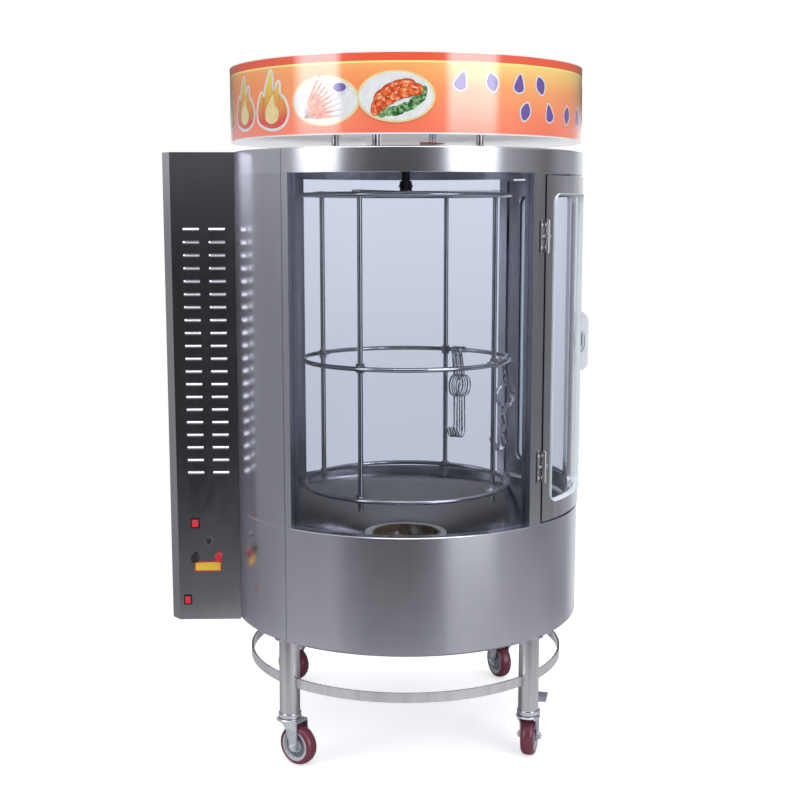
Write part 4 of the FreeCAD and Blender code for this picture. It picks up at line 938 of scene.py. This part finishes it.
def rounded_frame(half, low, high, corner):
    """Closed path of (across, height) points round a rectangle with arc corners, straight runs divided."""
    path = []
    for cx, cz, start in (
        (half - corner, high - corner, 0),
        (-half + corner, high - corner, 90),
        (-half + corner, low + corner, 180),
        (half - corner, low + corner, 270),
    ):
        for k in range(7):
            t = math.radians(start + 15 * k)
            path.append((cx + corner * math.cos(t), cz + corner * math.sin(t)))
    fine = []
    for i, (x, z) in enumerate(path):
        nx, nz = path[(i + 1) % len(path)]
        steps = max(1, int(abs(nx - x) / SEAL_STEP))
        fine += [(x + (nx - x) * k / steps, z + (nz - z) * k / steps) for k in range(steps)]
    return fine


def door_seals():
    """Soft seal lining the opening round each door pane, with a thin lip on the glass."""
    for word, way in DOOR_SIDES:
        low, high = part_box(f"door_{word}_glass")
        middle = 90 - way * (DOOR_ANGLE / 2 + DOOR_GAP)
        half = math.radians(DOOR_ANGLE / 2 - STILE_ANGLE) * PANE_R
        frame_path = rounded_frame(half, low.z + 0.009, high.z - 0.007, PANE_CORNER)
        bm = bmesh.new()
        loops = []
        for i, (x, z) in enumerate(frame_path):
            following = frame_path[(i + 1) % len(frame_path)]
            along = (Vector(following) - Vector(frame_path[i - 1])).normalized()
            loop = []
            for depth, step in SEAL_SECTION:
                azimuth = middle + math.degrees((x - along.y * step) / PANE_R)
                loop.append(bm.verts.new(around(depth, azimuth, z + along.x * step)))
            loops.append(loop)
        skin(bm, loops, closed=True)
        new_piece(f"pane_seal_{word}", bm, seal_grey, f"door_{word}")


def box_fixings():
    """Five screws down the slanted back corner of the side box."""
    low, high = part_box("box_cover")
    margin = 0.06
    slant = Vector((-0.793, 0.609, 0.0))
    on_slant = Vector((low.x + 0.0101, 0.117, 0.0))
    bm = bmesh.new()
    for k in range(5):
        z = low.z + margin + (high.z - low.z - 2 * margin) * k / 4
        merge(bm, put(cross_screw(0.0042), on_slant + Vector((0, 0, z)), slant, 0.5 * k))
    new_piece("box_screws", bm, screw_steel, "oven")


def header_rivets():
    """Pairs of dome rivets on the header's joints, and eight screws round the sign's lid."""
    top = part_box("header_band")[1].z
    bm = bmesh.new()
    dome = [(0.0, 0.0014), (0.0016, 0.0012), (0.0027, 0.0006), (0.0031, -0.0002), (0.0, -0.0002)]
    for azimuth in (88.0, 138.4, 222.0):
        out = around(1, azimuth) - around(0, azimuth)
        for z in (top - 0.040, top - 0.012):
            merge(bm, put(lathe(dome, 20), around(DRUM_R, azimuth, z), out))
    new_piece("header_rivets", bm, screw_steel, "oven")
    lid_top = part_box("sign_lid")[1].z
    bm = bmesh.new()
    for k in range(8):
        spot = around(SIGN_R - 0.012, 22.5 + 45 * k, lid_top - 0.0014)
        merge(bm, put(cross_screw(0.004, 0.3), spot, (0, 0, 1)))
    new_piece("lid_screws", bm, screw_steel, "oven")


hinge_screws()
caster_fittings()
weld_beads()
door_seals()
box_fixings()
header_rivets()

# ------------------------------------------------------------------ camera, light, floor
CAMERA_DISTANCE = 3.246
CAMERA_HEIGHT = 1.290
CAMERA_AZIMUTH = -2.0
CAMERA_PITCH = 8.18
CAMERA_PAN = -0.25
camera_data = bpy.data.cameras.new("camera")
camera_data.sensor_width = 36.0
camera_data.lens = 59.3
camera = bpy.data.objects.new("camera", camera_data)
camera.location = around(CAMERA_DISTANCE, CAMERA_AZIMUTH, CAMERA_HEIGHT)
camera.rotation_euler = (
    math.radians(90.0 - CAMERA_PITCH),
    0.0,
    math.radians(CAMERA_AZIMUTH - CAMERA_PAN),
)
scene.collection.objects.link(camera)
scene.camera = camera
scene.view_settings.view_transform = "Standard"

LAMP = 4.0
CEILING_TONE = 1.0
FLOOR_TONE = 0.6
DAYLIGHT = (0.95, 0.965, 1.0)
# Heights of a direction (sine of its elevation) over which the room's levels blend, from below to above.
NEAR_FLOOR = (-0.40, -0.31)
FLOOR_LINE = (-0.29, -0.20)
EYE_LINE = (-0.015, 0.05)
LAMP_FOOT = (0.05, 0.085)
CEILING = (0.3, 0.9)
# Compass angle, then brightness looking down at the floor line, just under eye level, just over it, and up.
ROOM = (
    (-180, 0.90, 0.90, 0.95, 0.12),  # backdrop behind the oven
    (-169, 0.60, 0.80, 0.85, 0.14),
    (-155, 0.15, 0.25, 0.48, 0.16),
    (-130, 0.16, 0.32, 0.60, 0.20),  # left wall
    (-78, 0.42, 0.26, 0.60, 0.36),
    (-69, 0.40, 0.22, 1.80, LAMP),  # left soft box
    (-47, 0.42, 0.22, 1.80, LAMP),
    (-42, 0.26, 0.14, 0.42, 0.30),
    (-25, 0.165, 0.06, 0.16, 0.16),  # dark side of the room, round the viewer
    (-8, 0.165, 0.035, 0.14, 0.14),
    (8, 0.165, 0.06, 0.15, 0.14),
    (22, 0.24, 0.16, 0.40, 0.30),
    (27, 0.38, 1.10, 1.80, LAMP),  # right soft box
    (54, 0.34, 1.10, 1.80, LAMP),
    (60, 0.44, 0.38, 0.50, 0.40),  # right wall
    (98, 0.46, 0.15, 0.17, 0.25),
    (114, 0.32, 0.35, 0.42, 0.20),
    (134, 0.36, 0.47, 0.50, 0.16),
    (150, 0.90, 0.87, 0.93, 0.14),
    (180, 0.90, 0.90, 0.95, 0.12),
)


def studio_world():
    """Grey room lit by two tall soft boxes beside the viewer, with a pale backdrop behind the oven."""
    world = bpy.data.worlds.new("studio")
    scene.world = world
    world.use_nodes = True
    m = Tree(world.node_tree)
    out = m.tree.nodes.new("ShaderNodeOutputWorld")
    ray = m.tree.nodes.new("ShaderNodeTexCoord").outputs["Generated"]
    x, y, z = m.split(ray)
    azimuth = m.math("ARCTAN2", x, m.math("MULTIPLY", y, -1.0))
    along = m.span(azimuth, -math.pi, math.pi, 0.0, 1.0)

    def grey(tone):
        return (tone / LAMP, tone / LAMP, tone / LAMP)

    def blend(band, below, above):
        return m.mix(m.span(z, *band, 0.0, 1.0, True), below, above)

    down, under, over, up = (
        m.ramp(along, [((row[0] + 180) / 360, grey(row[level])) for row in ROOM]) for level in (1, 2, 3, 4)
    )
    view = blend(FLOOR_LINE, down, under)
    view = blend(EYE_LINE, view, over)
    view = blend(LAMP_FOOT, view, up)
    view = blend(CEILING, view, grey(CEILING_TONE))
    view = blend(NEAR_FLOOR, grey(FLOOR_TONE), view)
    view = m.mix(1.0, view, DAYLIGHT, "MULTIPLY")
    seen = m.tree.nodes.new("ShaderNodeLightPath").outputs["Is Camera Ray"]
    glow = m.tree.nodes.new("ShaderNodeBackground")
    m.link(m.mix(seen, view, grey(1.0)), glow.inputs[0])
    glow.inputs[1].default_value = LAMP
    m.link(glow.outputs[0], out.inputs[0])


studio_world()


def floor():
    """Pale paper sweep, brighter to the eye than to the steel's reflections, fading out at its edge."""
    m = Nodes("floor_paper")
    x, y, _ = m.split(m.place)
    far = m.reach(x, y)
    grain = m.noise(m.place, 120.0, 3.0, 0.5)
    seen = m.tree.nodes.new("ShaderNodeLightPath").outputs["Is Camera Ray"]
    paper = m.mix(grain, (0.95, 0.95, 0.95), (0.99, 0.99, 0.99))
    m.set(Base_Color=m.mix(seen, (0.55, 0.55, 0.56), paper), Roughness=0.75)
    m.set(Emission_Color=(1.0, 1.0, 1.0, 1.0), Emission_Strength=m.math("MULTIPLY", seen, 0.55))
    m.set(Alpha=m.span(far, 0.7, 1.5, 1.0, 0.0, True))
    bm = bmesh.new()
    bmesh.ops.create_grid(bm, x_segments=4, y_segments=4, size=1.6)
    mesh = bpy.data.meshes.new("floor")
    bm.to_mesh(mesh)
    bm.free()
    mesh.materials.append(m.material)
    piece = bpy.data.objects.new("floor", mesh)
    piece.location = (AXIS_X, 0.0, -0.0005)
    scene.collection.objects.link(piece)


floor()


def soft_light(name, where, size, power):
    data = bpy.data.lights.new(name, "AREA")
    data.shape = "RECTANGLE"
    data.size, data.size_y = size
    data.energy = power
    lamp = bpy.data.objects.new(name, data)
    lamp.location = where
    lamp.rotation_euler = (Vector((AXIS_X, 0, 0.9)) - Vector(where)).to_track_quat("-Z", "Y").to_euler()
    scene.collection.objects.link(lamp)


soft_light("top_light", (0.3, -0.6, 3.6), (2.4, 2.4), 60.0)
